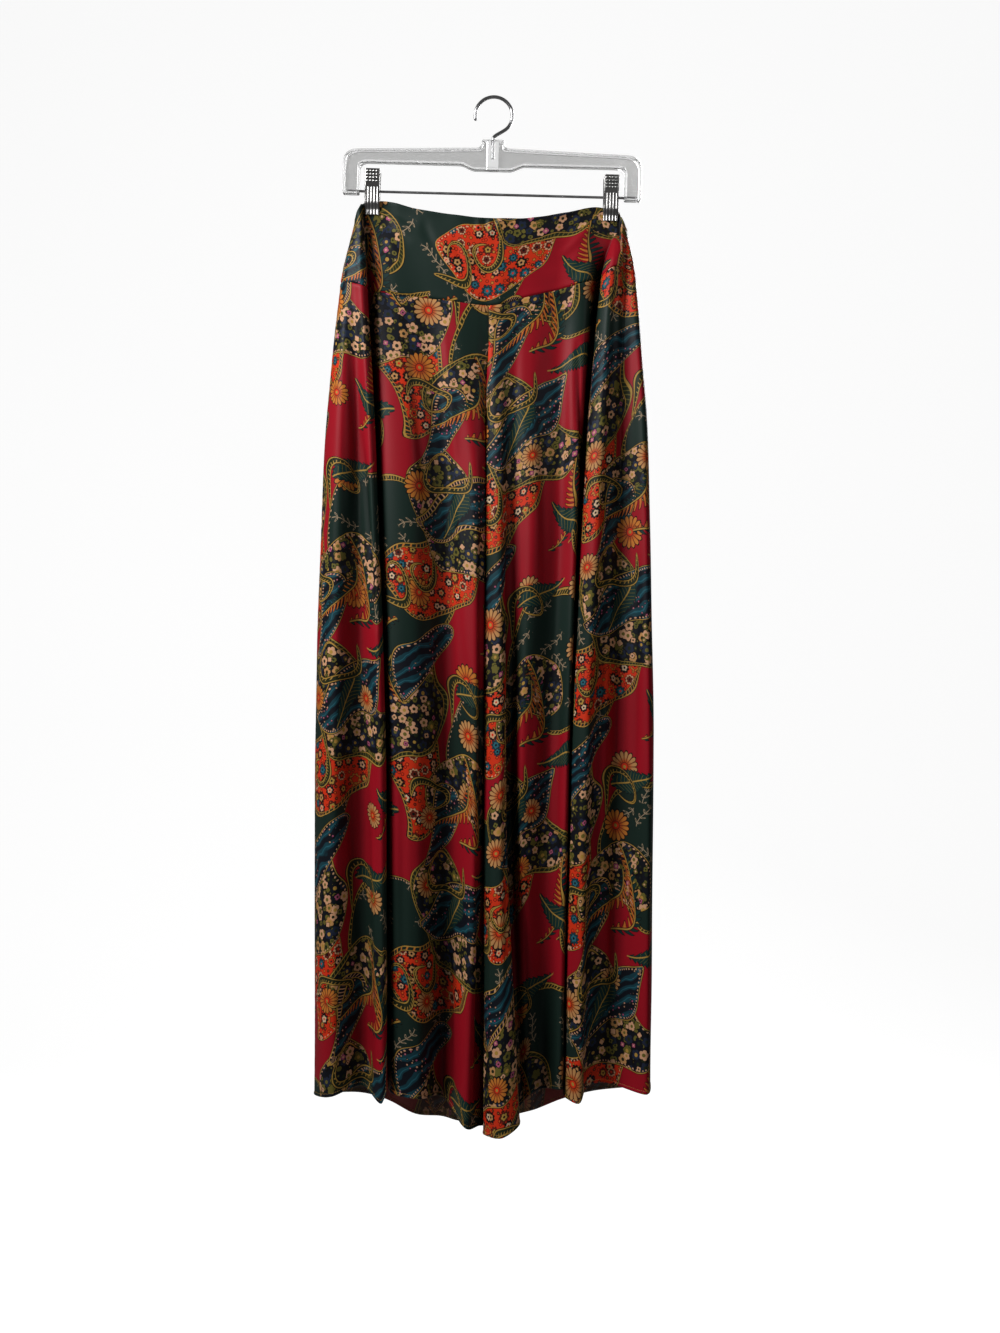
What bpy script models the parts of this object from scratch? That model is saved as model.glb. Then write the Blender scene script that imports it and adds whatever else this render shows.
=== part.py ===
"""Wide palazzo pants hanging by the waist from a clear clip hanger.

The garment is six cut pieces: a front and a back yoke (the shaped waistband), and a front and a back
panel for each leg. Left and right are as seen from the front. Every cloth piece is a thin wall through
horizontal sections, and each section is a smooth curve through the creases and crests of the cloth:
the rows of the fold tables below. The hanger is a clear bar with a steel hook, a rod and two clips.

Frame: +Z up, the front faces -Y, +X to the right seen from the front. The origin is the inside crest
of the hook, where a rail carries it. Sizes in the tables are millimetres; the model is in metres.
"""
from math import ceil, cos, pi, radians, sin
from typing import NamedTuple

import bmesh
import bpy
import numpy as np
from mathutils import Matrix

MM = 0.001

# ---- driving sizes (mm) ----------------------------------------------------------------------------
WALL = 1.2                  # cloth wall
SEAM_GAP = 0.3              # between two pieces sewn together
HALF_GAP = SEAM_GAP / 2
HANGER_TILT = radians(1.5)  # the hanger hangs a little lower on the right

ROD_HEIGHT = -114.0         # centre of the steel rod under the hook's crest
ROD_RADIUS = 1.5
RUNNING_GAP = 0.3           # between the rod and what it passes through
CLIP_ACROSS = 141.5         # each clip's centre from the hanger's middle
CLIP_WIDTH = 18.0
CLIP_BOTTOM = -142.5
CLIP_BITE = 0.3             # between a jaw and the cloth that it holds
PINCHED_DEPTH = 1.0         # centre of each wall from the middle plane, inside a clip
PLATE = 1.2                 # pressed steel of a jaw
JAW_LIP = PINCHED_DEPTH + WALL / 2 + CLIP_BITE + PLATE   # outer face of a jaw's lip

# ---- how finely the cloth is divided ---------------------------------------------------------------
SPAN_STEP = 11.0            # mm of cloth for each division between two fold lines
SPAN_LEAST = 3
SPAN_MOST = 4
YOKE_ROWS = (0.0, 0.25, 0.58, 1.0)      # shares of the yoke's height
ROWS_ABOVE_CROTCH = 3
ROWS_BELOW_CROTCH = 6

# Nominal heights of the five levels at which the fold tables give their sizes.
LEVEL_HEIGHTS = np.array([-133.0, -228.0, -462.0, -821.0, -1183.0])
WAIST, SEAM, CROTCH, KNEE, HEM = range(5)


class Fold(NamedTuple):
    """A crease or crest line of the cloth, from the waist down to the hem."""

    name: str
    x_waist: float
    x_seam: float
    x_crotch: float
    x_knee: float
    x_hem: float
    y_waist: float
    y_seam: float
    y_crotch: float
    y_knee: float
    y_hem: float
    hem: float              # height of its lower end


class EdgePoint(NamedTuple):
    """A point on an edge that crosses the garment."""

    across: float
    height: float


class Clip(NamedTuple):
    """A clip of the hanger: its name and the side that it sits on."""

    name: str
    side: int


CLIPS = (Clip("clip_left", -1), Clip("clip_right", 1))

# The front, left leg, from the side seam to the middle. The flap hangs forward of the rest.
FRONT_LEFT = (
    Fold("side seam", -165, -182, -203, -213, -214, 0, 2, 5, 8, 8, -1184),
    Fold("flap outer ridge", -163, -174, -186, -193, -195, -7, -20, -26, -30, -32, -1175),
    Fold("flap valley", -160.2, -164, -160, -162, -162, -10.5, -25, -21, -20, -18, -1168),
    Fold("flap inner ridge", -158.5, -156, -144, -134, -133, -10, -29, -38, -44, -48, -1180),
    Fold("flap edge", -156.8, -149, -137, -125, -123.5, -6.5, -23, -31, -36, -38, -1160),
    Fold("tuck", -156.4, -153.5, -145, -135, -133, -3.5, -14, -18, -20, -20, -1163),
    Fold("shadow under the flap", -155.4, -149.5, -140, -129.5, -126, -1, -7, -6, -6, -6, -1168),
    Fold("ridge A foot", -152, -141, -129, -118, -114.5, -1, -8, -11, -13, -14, -1173),
    Fold("ridge A", -134.5, -118, -102, -92.5, -89, -1, -11, -20, -28, -32, -1177),
    Fold("valley", -90, -82, -73.5, -66.5, -63, -7, -13, -13, -12, -8, -1182),
    Fold("ridge B", -49, -45, -41, -37.5, -37, -12, -15, -22, -33, -42, -1211),
    Fold("ridge B foot", -19, -21.5, -20.5, -19.5, -19.5, -13.5, -15.5, -16, -17, -20, -1212),
    Fold("middle", -5, -6.3, -8.3, -8, -8, -14, -15, 0, 3, 4, -1221),
)

# The front, right leg, from the middle to the side seam. The inner strip and the outer flap are forward.
FRONT_RIGHT = (
    Fold("middle", -5, -6.3, -6.7, -3.8, -3.8, -14, -15, 0, 3, 4, -1224),
    Fold("strip foot", 2, -1.5, -4.5, -10.5, -12, -14, -15.5, -15, -23, -35, -1219),
    Fold("strip crest", 10, 5.5, 2, 1.5, 9.5, -14, -16.5, -23, -40, -62, -1214),
    Fold("strip edge", 18.5, 13.5, 8.5, 11, 29, -13.6, -15.5, -21, -35, -52, -1202),
    Fold("strip tuck", 24.5, 19.5, 12.5, 9, 22, -13.3, -15, -17, -22, -31, -1192),
    Fold("shadow by the strip", 31.5, 26.5, 18, 16, 30, -13, -14.5, -14.5, -12, -13, -1192),
    Fold("panel crease", 54, 44.5, 35, 42, 49, -11.5, -14, -15, -17, -15, -1176),
    Fold("panel ridge", 85, 73, 68, 65.5, 66.5, -8, -13, -21, -24, -26, -1172),
    Fold("panel foot", 128, 110.5, 101, 87, 79.5, -1, -10, -15, -16, -15, -1169),
    Fold("deep shadow", 149.7, 130.5, 113, 95.5, 87, -1, -6, -4, -2, 0, -1177),
    Fold("flap edge", 150.1, 134.5, 117, 99.5, 91, -4, -22, -27, -27, -24, -1180),
    Fold("flap crest", 150.5, 139, 122.5, 106, 98.5, -7, -28, -35, -35, -35, -1183),
    Fold("strip valley", 151.2, 143.5, 131, 119.5, 110, -9.5, -28, -29, -21, -16, -1167),
    Fold("flap ridge", 152.3, 148, 140, 130.5, 122.5, -10.5, -27, -31, -31, -31, -1163),
    Fold("flap valley", 153.6, 152.5, 152, 145, 139.5, -10, -22, -24, -22, -20, -1167),
    Fold("flap outer ridge", 155.3, 158.5, 167.5, 170.5, 167, -7, -16, -23, -29, -31, -1172),
    Fold("side seam", 157, 166, 181, 186, 183, 0, 2, 5, 8, 8, -1167),
)

# The back, left leg, from the side seam to the middle: soft even folds.
BACK_LEFT = (
    Fold("side seam", -165, -182, -203, -213, -214, 0, 2, 5, 8, 8, -1184),
    Fold("side bulge", -163, -178, -192, -200, -201, 8, 18, 30, 38, 42, -1192),
    Fold("bulge valley", -157.5, -161, -161, -160, -159, 4.5, 17, 22, 24, 22, -1186),
    Fold("outer ridge", -153.5, -141.5, -132, -130, -129, 1, 13, 30, 42, 50, -1203),
    Fold("outer valley", -133.5, -115, -101, -98, -95, 1, 12, 21, 25, 24, -1212),
    Fold("inner ridge", -94.5, -83, -70.5, -67, -65, 6, 15, 30, 42, 52, -1223),
    Fold("inner valley", -55, -47, -42.5, -40, -38, 11, 17, 21, 24, 22, -1220),
    Fold("ridge by the inseam", -24, -24, -23, -22, -22, 13, 18, 19, 29, 38, -1222),
    Fold("middle", -5, -6.3, -8.3, -8, -8, 14, 18, 0, 3, 4, -1221),
)

# The back, right leg, from the middle to the side seam.
BACK_RIGHT = (
    Fold("middle", -5, -6.3, -6.7, -3.8, -3.8, 14, 18, 0, 3, 4, -1224),
    Fold("ridge by the inseam", 14, 10.5, 7, 5, 5, 13, 18, 19, 30, 40, -1226),
    Fold("inner valley", 45, 34.5, 26, 22, 21, 11, 17, 21, 24, 22, -1214),
    Fold("inner ridge", 84, 74, 61, 55.5, 52, 6, 15, 30, 42, 52, -1214),
    Fold("outer valley", 127, 107, 91, 86, 81.5, 1, 12, 21, 25, 24, -1194),
    Fold("outer ridge", 147.5, 132.5, 122.5, 121, 119, 1, 13, 30, 42, 50, -1192),
    Fold("bulge valley", 151.5, 149.5, 149.5, 153.5, 153, 4.5, 17, 22, 24, 22, -1180),
    Fold("side bulge", 155.5, 161.5, 171, 173, 171, 8, 18, 30, 38, 42, -1184),
    Fold("side seam", 157, 166, 181, 186, 183, 0, 2, 5, 8, 8, -1167),
)

# The top edge of the waist. It sags between the clips and drops outside them.
WAIST_EDGE = (
    EdgePoint(-165, -145), EdgePoint(-160, -133), EdgePoint(-154, -124), EdgePoint(-135, -122),
    EdgePoint(-95, -132), EdgePoint(-55, -140), EdgePoint(0, -146), EdgePoint(29, -146),
    EdgePoint(92, -136), EdgePoint(126, -130), EdgePoint(146, -132), EdgePoint(152, -147),
    EdgePoint(157, -157),
)

# The seam between the yoke and the legs. It dips to a soft point at the middle.
YOKE_SEAM = (
    EdgePoint(-182, -219), EdgePoint(-164, -225), EdgePoint(-148, -230), EdgePoint(-91, -238),
    EdgePoint(-57, -243), EdgePoint(-6, -249), EdgePoint(37, -239), EdgePoint(83, -228),
    EdgePoint(125, -215), EdgePoint(142, -206), EdgePoint(166, -214),
)


# ---- smooth curves -----------------------------------------------------------------------------------
def smooth_curve(stations, values, at):
    """Values along the last axis, given at rising stations, read at other places without overshoot."""
    stations, values, at = np.asarray(stations, float), np.asarray(values, float), np.asarray(at, float)
    steps = np.diff(stations)
    rise = np.diff(values, axis=-1) / steps
    before, after = rise[..., :-1], rise[..., 1:]
    turning = before * after <= 0
    total = np.where(turning, 1.0, before + after)
    inner = np.where(turning, 0.0, 2 * before * after / total)
    slope = np.concatenate([rise[..., :1], inner, rise[..., -1:]], axis=-1)
    span = np.clip(np.searchsorted(stations, at, side="right") - 1, 0, len(steps) - 1)
    share = np.clip((at - stations[span]) / steps[span], 0, 1)
    start, end = values[..., span], values[..., span + 1]
    lean_start, lean_end = slope[..., span] * steps[span], slope[..., span + 1] * steps[span]
    return hermite(start, end, lean_start, lean_end, share)


def hermite(start, end, lean_start, lean_end, share):
    """A cubic from start to end that leaves and arrives with the given leans."""
    square, cube = share**2, share**3
    return (start * (2 * cube - 3 * square + 1) + end * (3 * square - 2 * cube)
            + lean_start * (cube - 2 * square + share) + lean_end * (cube - square))


def edge_height(edge, across):
    """The height of an edge where it crosses the given place."""
    return smooth_curve([point.across for point in edge], [point.height for point in edge], across)


# ---- the cloth's centre surface ------------------------------------------------------------------------
def fold_lines(folds, depths):
    """Points of each fold line at each depth: rows of folds of (x, y, z).

    A depth counts levels: 0 is the waist edge, 1 the yoke seam, 2 the crotch, 3 the knee and 4 the hem.
    """
    table = np.array([fold[1:] for fold in folds], float)
    nominal = np.interp(depths, range(len(LEVEL_HEIGHTS)), LEVEL_HEIGHTS)
    across = smooth_curve(-LEVEL_HEIGHTS, table[:, 0:5], -nominal)
    forward = smooth_curve(-LEVEL_HEIGHTS, table[:, 5:10], -nominal)
    top = edge_height(WAIST_EDGE, table[:, WAIST])[:, None]
    seam = edge_height(YOKE_SEAM, table[:, SEAM])[:, None]
    hem = table[:, 10][:, None]
    in_yoke = top + (seam - top) * np.clip(depths, 0, 1)
    drop = np.clip((LEVEL_HEIGHTS[SEAM] - nominal) / (LEVEL_HEIGHTS[SEAM] - LEVEL_HEIGHTS[HEM]), 0, 1)
    height = in_yoke + (hem - seam) * drop
    return np.stack([across, forward, height], axis=-1).transpose(1, 0, 2)


def span_counts(folds):
    """How many divisions each span between two fold lines gets, from its width at the hem."""
    ends = np.array([(fold.x_hem, fold.y_hem) for fold in folds], float)
    widths = np.linalg.norm(np.diff(ends, axis=0), axis=1)
    return [min(max(ceil(width / SPAN_STEP), SPAN_LEAST), SPAN_MOST) for width in widths]


def section_curves(lines, before, after, counts):
    """A smooth curve through the fold lines of each row.

    before and after are the points past the two ends, in the neighbouring pieces, so that the cloth runs
    smoothly across a seam. counts holds the divisions of each span.
    """
    padded = np.concatenate([before[:, None], lines, after[:, None]], axis=1)
    steps = np.diff(padded, axis=1)
    length = np.linalg.norm(steps, axis=2, keepdims=True)
    slope = steps / length
    lean = ((slope[:, :-1] * length[:, 1:] + slope[:, 1:] * length[:, :-1])
            / (length[:, 1:] + length[:, :-1]))
    columns = []
    for span, count in enumerate(counts):
        reach = length[:, span + 1]
        for step in range(count):
            columns.append(hermite(lines[:, span], lines[:, span + 1], lean[:, span] * reach,
                                   lean[:, span + 1] * reach, step / count))
    columns.append(lines[:, -1])
    return np.stack(columns, axis=1)


def clip_place(clip):
    """Where a clip's middle is, across the garment, and the height of its lower end, as it hangs."""
    across = clip.side * CLIP_ACROSS
    return (across * cos(HANGER_TILT) + ROD_HEIGHT * sin(HANGER_TILT),
            CLIP_BOTTOM * cos(HANGER_TILT) - across * sin(HANGER_TILT))


def pinch_at_clips(points, side):
    """Press the cloth flat where the clips hold it; side is -1 for the front and 1 for the back."""
    flat_beyond, outer_fade, inner_fade, fade_down = 1.0, 2.0, 22.0, 48.0
    for clip in CLIPS:
        middle, bottom = clip_place(clip)
        outward = (points[..., 0] - middle) * clip.side - CLIP_WIDTH / 2 - flat_beyond
        inward = -(points[..., 0] - middle) * clip.side - CLIP_WIDTH / 2 - flat_beyond
        beside = 1 - np.clip(np.maximum(outward / outer_fade, inward / inner_fade), 0, 1)
        below = 1 - np.clip((bottom - 4.0 - points[..., 2]) / fade_down, 0, 1)
        hold = beside**2 * (3 - 2 * beside) * below**2 * (3 - 2 * below)
        points[..., 1] += (side * PINCHED_DEPTH - points[..., 1]) * hold
    return points


# ---- walls ----------------------------------------------------------------------------------------------
def outward_directions(points):
    """Unit directions square to each row's curve, level, on the curve's right-hand side."""
    along = np.zeros_like(points[..., :2])
    step = np.diff(points[..., :2], axis=1)
    step /= np.linalg.norm(step, axis=2, keepdims=True)
    along[:, 0], along[:, -1] = step[:, 0], step[:, -1]
    along[:, 1:-1] = step[:, :-1] + step[:, 1:]
    along /= np.linalg.norm(along, axis=2, keepdims=True)
    cosine = np.ones(points.shape[:2])
    cosine[:, 1:-1] = np.clip((along[:, 1:-1] * step[:, 1:]).sum(axis=2), 0.8, 1)
    square = np.stack([along[..., 1], -along[..., 0]], axis=-1)
    return square / cosine[..., None]


def wall_faces(points):
    """The two faces of a wall round a centre surface: front-facing one first."""
    offset = np.zeros_like(points)
    offset[..., :2] = outward_directions(points) * WALL / 2
    return points + offset, points - offset


def wall_mesh(name, outer, inner):
    """A closed mesh from a wall's two faces, each rows of points in millimetres."""
    rows, columns = outer.shape[:2]
    mesh = bmesh.new()
    sheets = [[[mesh.verts.new(point * MM) for point in row] for row in face] for face in (outer, inner)]
    front, back = sheets
    for row in range(rows - 1):
        for column in range(columns - 1):
            corners = ((row, column), (row + 1, column), (row + 1, column + 1), (row, column + 1))
            mesh.faces.new([front[r][c] for r, c in corners])
            mesh.faces.new([back[r][c] for r, c in reversed(corners)])
    rim = ([(0, column) for column in range(columns)]
           + [(row, columns - 1) for row in range(1, rows)]
           + [(rows - 1, column) for column in reversed(range(columns - 1))]
           + [(row, 0) for row in reversed(range(1, rows - 1))])
    for (r, c), (next_r, next_c) in zip(rim, rim[1:] + rim[:1]):
        mesh.faces.new((front[r][c], front[next_r][next_c], back[next_r][next_c], back[r][c]))
    bmesh.ops.recalc_face_normals(mesh, faces=mesh.faces)
    data = bpy.data.meshes.new(name)
    mesh.to_mesh(data)
    mesh.free()
    return data


# ---- cloth pieces ---------------------------------------------------------------------------------------
def leg_depths():
    """The rows of a leg panel, as depths, with one row at the crotch."""
    fall = np.linspace(LEVEL_HEIGHTS[CROTCH], LEVEL_HEIGHTS[HEM], ROWS_BELOW_CROTCH + 1)
    below = np.interp(-fall, -LEVEL_HEIGHTS, range(len(LEVEL_HEIGHTS)))
    return np.concatenate([np.linspace(SEAM, CROTCH, ROWS_ABOVE_CROTCH + 1)[:-1], below])


def leg_panel(folds, behind, beside, side, middle_last):
    """The centre surface of a leg panel, trimmed at its seams.

    folds, behind and beside are the fold tables of the panel, of the other panel of its leg and of the
    other leg's panel on the same face. side is -1 for a front panel. middle_last says that the table
    ends at the middle of the garment, not at the side seam.
    """
    depths = leg_depths()
    lines = fold_lines(folds, depths)
    back = fold_lines(behind, depths)
    other = fold_lines(beside, depths)
    split = (depths >= CROTCH)[:, None]
    middle = -1 if middle_last else 0
    inseam = (lines[:, middle] + back[:, middle]) / 2
    lines[:, middle] = np.where(split, inseam, lines[:, middle])
    if middle_last:
        past_middle = np.where(split, back[:, -2], other[:, 1])
        before, after = back[:, 1], past_middle
    else:
        past_middle = np.where(split, back[:, 1], other[:, -2])
        before, after = past_middle, back[:, -2]
    points = section_curves(lines, before, after, span_counts(folds))
    return pinch_at_clips(points, side), lines, other, split[:, 0]


def trim_leg(faces, lines, other, split, side, middle_last):
    """Set the wall's end faces on the seam planes, half a gap from them."""
    middle, outer_end = (-1, 0) if middle_last else (0, -1)
    leg = -1 if middle_last else 1
    twin = 0 if middle_last else -1
    shared = (lines[:, middle, 0] + other[:, twin, 0]) / 2
    for face in faces:
        face[:, outer_end, 1] = lines[:, outer_end, 1] + side * HALF_GAP
        face[split, middle, 1] = lines[split, middle, 1] + side * HALF_GAP
        face[~split, middle, 0] = shared[~split] + leg * HALF_GAP
        face[0, :, 2] -= HALF_GAP
    return faces


def build_leg(name, folds, behind, beside, side, middle_last):
    """One leg panel as a mesh."""
    points, lines, other, split = leg_panel(folds, behind, beside, side, middle_last)
    faces = trim_leg(wall_faces(points), lines, other, split, side, middle_last)
    return wall_mesh(name, *faces)


def build_yoke(name, left, right, behind_left, behind_right, side):
    """The front or back half of the yoke as a mesh, from side seam to side seam."""
    depths = np.array(YOKE_ROWS)
    folds = left + right[1:]
    lines = fold_lines(folds, depths)
    points = section_curves(lines, fold_lines(behind_left, depths)[:, 1],
                            fold_lines(behind_right, depths)[:, -2], span_counts(left) + span_counts(right))
    faces = wall_faces(pinch_at_clips(points, side))
    for face in faces:
        for end in (0, -1):
            face[:, end, 1] = lines[:, end, 1] + side * HALF_GAP
        face[-1, :, 2] += HALF_GAP
    return wall_mesh(name, *faces)


# ---- hard pieces ----------------------------------------------------------------------------------------
class Corner(NamedTuple):
    """A corner of the hanger's outline and the radius that rounds it."""

    across: float
    height: float
    radius: float


# The right half of the hanger's outline, from the top of the boss round to its lower side.
HANGER_CORNERS = (
    Corner(13, -50, 3), Corner(15, -60, 4), Corner(177, -65, 17), Corner(177, -118, 3),
    Corner(157, -118, 2), Corner(157, -80, 10), Corner(36, -80, 4), Corner(23, -86, 4),
)
HANGER_DEPTH = 10.0         # across its rim
HANGER_RIM = 2.6            # width of the rim round its face
HANGER_WEB = 3.4            # thickness inside the rim
CORNER_STEPS = 2            # divisions of a rounded corner

HOOK_WIRE = 2.0             # radius of the hook's wire
HOOK_INNER = 20.0           # radius of the hook's inside
HOOK_TIP_ANGLE = radians(198)
HOOK_LEAVE_ANGLE = radians(-38)
HOOK_BORE_TOP = -50.0
STEM_DEPTH = 22.0           # of hook wire inside the boss

EAR = 1.2                   # thickness of a jaw's ear
EAR_INSET_FRONT = 0.2       # outer face of a front jaw's ear inside the jaw's edge
SPRING_WIRE = 0.6
SPRING_RADIUS = 2.8
SPRING_TURNS = 4


class JawPoint(NamedTuple):
    """A point of a jaw's outer face in side view; depth is from the middle plane."""

    depth: float
    height: float


JAW_FACE = (JawPoint(10.2, -89.5), JawPoint(7.2, -114), JawPoint(6.0, -128), JawPoint(JAW_LIP, -137),
            JawPoint(JAW_LIP, CLIP_BOTTOM))
EAR_OUTLINE = (JawPoint(8.2, -102), JawPoint(-1.6, -110.2), JawPoint(-3.3, -112), JawPoint(-3.3, -116),
               JawPoint(-1.6, -117.8), JawPoint(6.2, -125))


def prism(name, outline, start, end, along="Y"):
    """A mesh from a flat outline swept between two places along X or Y."""
    mesh = bmesh.new()
    rings = []
    for place in (start, end):
        order = [(a, place, b) if along == "Y" else (place, a, b) for a, b in outline]
        rings.append([mesh.verts.new([value * MM for value in point]) for point in order])
    count = len(outline)
    mesh.faces.new(rings[0])
    mesh.faces.new(list(reversed(rings[1])))
    for index in range(count):
        after = (index + 1) % count
        mesh.faces.new((rings[0][index], rings[1][index], rings[1][after], rings[0][after]))
    bmesh.ops.recalc_face_normals(mesh, faces=mesh.faces)
    data = bpy.data.meshes.new(name)
    mesh.to_mesh(data)
    mesh.free()
    return data


def rounded(corners):
    """An outline whose corners are replaced by short curves."""
    points = []
    count = len(corners)
    for index, corner in enumerate(corners):
        here = np.array(corner[:2], float)
        legs = []
        for other in (corners[index - 1], corners[(index + 1) % count]):
            way = np.array(other[:2], float) - here
            legs.append(here + way / np.linalg.norm(way) * min(corner.radius, np.linalg.norm(way) * 0.48))
        for step in range(CORNER_STEPS + 1):
            share = step / CORNER_STEPS
            points.append(legs[0] * (1 - share)**2 + 2 * here * share * (1 - share) + legs[1] * share**2)
    return points


def rod_mesh(name, radius, start, end, sides=12, along="X"):
    """A round bar between two places along X or Z, centred on that axis."""
    mesh = bmesh.new()
    turn = Matrix.Rotation(pi / 2, 4, "Y") if along == "X" else Matrix.Identity(4)
    shift = (start + end) / 2 * MM
    place = Matrix.Translation((shift, 0, 0) if along == "X" else (0, 0, shift))
    bmesh.ops.create_cone(mesh, cap_ends=True, segments=sides, radius1=radius * MM, radius2=radius * MM,
                          depth=abs(end - start) * MM, matrix=place @ turn)
    data = bpy.data.meshes.new(name)
    mesh.to_mesh(data)
    mesh.free()
    return data


def wire_object(name, points, radius, bevel_resolution):
    """A bent wire with flat ends, through points in millimetres."""
    curve = bpy.data.curves.new(name, "CURVE")
    curve.dimensions = "3D"
    curve.bevel_depth = radius * MM
    curve.bevel_resolution = bevel_resolution
    curve.use_fill_caps = True
    spline = curve.splines.new("POLY")
    spline.points.add(len(points) - 1)
    for target, point in zip(spline.points, points):
        target.co = (*(value * MM for value in point), 1)
    thing = bpy.data.objects.new(name, curve)
    bpy.context.collection.objects.link(thing)
    return thing


def hook_route():
    """The hook's wire: round over the rail, back under it and straight down into the boss."""
    ring = HOOK_INNER + HOOK_WIRE
    centre = -HOOK_INNER
    points = []
    arc_steps = 16
    for step in range(arc_steps + 1):
        angle = HOOK_TIP_ANGLE + (HOOK_LEAVE_ANGLE - HOOK_TIP_ANGLE) * step / arc_steps
        points.append((ring * cos(angle), 0, centre + ring * sin(angle)))
    start = np.array((points[-1][0], points[-1][2]))
    lean_out = np.array((sin(HOOK_LEAVE_ANGLE), -cos(HOOK_LEAVE_ANGLE))) * ring * 1.1
    end, lean_in = np.array((0.0, HOOK_BORE_TOP + 2)), np.array((0.0, -ring * 0.7))
    bend_steps = 7
    for step in range(1, bend_steps + 1):
        across, height = hermite(start, end, lean_out, lean_in, step / bend_steps)
        points.append((across, 0, height))
    points.append((0, 0, HOOK_BORE_TOP - STEM_DEPTH))
    return points


def add_object(name, data):
    """A new object in the scene that shows a mesh."""
    thing = bpy.data.objects.new(name, data)
    bpy.context.collection.objects.link(thing)
    return thing


def cut_or_join(target, tool, operation):
    """A Boolean modifier on target; the tool stays in the scene as a hidden guide."""
    tool.hide_render = True
    tool.display_type = "WIRE"
    step = target.modifiers.new(tool.name, "BOOLEAN")
    step.operation = operation
    step.object = tool


def shrunk(corners, rim):
    """The same corners moved inside the outline by a rim's width."""
    count = len(corners)
    points = []
    for index, corner in enumerate(corners):
        here = np.array(corner[:2], float)
        inward = []
        for start, end in ((corners[index - 1], corner), (corner, corners[(index + 1) % count])):
            way = np.array(end[:2], float) - np.array(start[:2], float)
            way /= np.linalg.norm(way)
            inward.append(np.array((way[1], -way[0])))
        mitre = (inward[0] + inward[1]) / (1 + inward[0] @ inward[1])
        points.append(Corner(*(here + mitre * rim), corner.radius))
    return points


def build_hanger_body():
    """The clear bar: an outline with a raised rim, a boss for the hook and bores for the rod."""
    left = [Corner(-corner.across, corner.height, corner.radius) for corner in reversed(HANGER_CORNERS)]
    corners = [*HANGER_CORNERS, *left]
    half, web = HANGER_DEPTH / 2, HANGER_WEB / 2
    body = add_object("hanger_body", prism("hanger_body", rounded(corners), -half, half))
    for side, name in ((-1, "front_recess"), (1, "back_recess")):
        recess = prism(name, rounded(shrunk(corners, HANGER_RIM)), side * web, side * (half + 1))
        cut_or_join(body, add_object(name, recess), "DIFFERENCE")
    boss_half, boss_low, boss_depth = 7.0, -84.0, 5.5
    boss = [(-boss_half, HOOK_BORE_TOP + 1), (-boss_half, boss_low), (boss_half, boss_low),
            (boss_half, HOOK_BORE_TOP + 1)]
    cut_or_join(body, add_object("boss", prism("boss", boss, -boss_depth, boss_depth)), "UNION")
    bore = rod_mesh("hook_bore", HOOK_WIRE + RUNNING_GAP, HOOK_BORE_TOP - STEM_DEPTH - 1,
                    HOOK_BORE_TOP + 5, along="Z")
    cut_or_join(body, add_object("hook_bore", bore), "DIFFERENCE")
    for side, name in ((-1, "rod_bore_left"), (1, "rod_bore_right")):
        drill = add_object(name, rod_mesh(name, ROD_RADIUS + RUNNING_GAP, side * 150, side * 172))
        drill.location.z = ROD_HEIGHT * MM
        cut_or_join(body, drill, "DIFFERENCE")
    return body


def build_jaw(name, across, facing):
    """One pressed jaw with an ear at each side; facing is -1 for the front jaw."""
    inner = [(point.depth - PLATE, point.height) for point in reversed(JAW_FACE)]
    outline = [(facing * depth, height) for depth, height in [*JAW_FACE, *inner]]
    half = CLIP_WIDTH / 2
    jaw = add_object(name, prism(name, outline, across - half, across + half, along="X"))
    inset = EAR_INSET_FRONT if facing < 0 else EAR_INSET_FRONT + EAR + RUNNING_GAP
    for side in (-1, 1):
        ear_outline = [(facing * point.depth, point.height) for point in EAR_OUTLINE]
        outer = across + side * (half - inset)
        guide = f"{name}_ear_{'left' if side < 0 else 'right'}"
        cut_or_join(jaw, add_object(guide, prism(guide, ear_outline, outer, outer - side * EAR, along="X")),
                    "UNION")
    bore = add_object(f"{name}_bore", rod_mesh(f"{name}_bore", ROD_RADIUS + RUNNING_GAP, across - CLIP_WIDTH,
                                               across + CLIP_WIDTH))
    bore.location.z = ROD_HEIGHT * MM
    cut_or_join(jaw, bore, "DIFFERENCE")
    return jaw


def build_spring(name, across):
    """The coil round the rod between a clip's ears."""
    length = CLIP_WIDTH - 2 * (EAR_INSET_FRONT + 2 * EAR + 2 * RUNNING_GAP + SPRING_WIRE + RUNNING_GAP)
    per_turn = 7
    points = []
    for step in range(SPRING_TURNS * per_turn + 1):
        angle = 2 * pi * step / per_turn
        place = across - length / 2 + length * step / (SPRING_TURNS * per_turn)
        points.append((place, SPRING_RADIUS * cos(angle), ROD_HEIGHT + SPRING_RADIUS * sin(angle)))
    return wire_object(name, points, SPRING_WIRE, 0)


def build_hanger():
    """Every hard piece, hung from the origin with the hanger's tilt."""
    hanger = bpy.data.objects.new("hanger", None)
    bpy.context.collection.objects.link(hanger)
    rod = add_object("clip_rod", rod_mesh("clip_rod", ROD_RADIUS, -171.5, 171.5))
    rod.location.z = ROD_HEIGHT * MM
    hook = wire_object("hanger_hook", hook_route(), HOOK_WIRE, 1)
    parts = {"plastic": [build_hanger_body()], "steel": [hook, rod], "chrome": []}
    for clip in CLIPS:
        across = clip.side * CLIP_ACROSS
        parts["chrome"] += [build_jaw(f"{clip.name}_front", across, -1), build_jaw(f"{clip.name}_back", across, 1)]
        parts["steel"].append(build_spring(f"{clip.name}_spring", across))
    for thing in bpy.data.objects:
        if thing is not hanger and thing.parent is None:
            thing.parent = hanger
    hanger.rotation_euler.y = HANGER_TILT
    return parts


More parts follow.
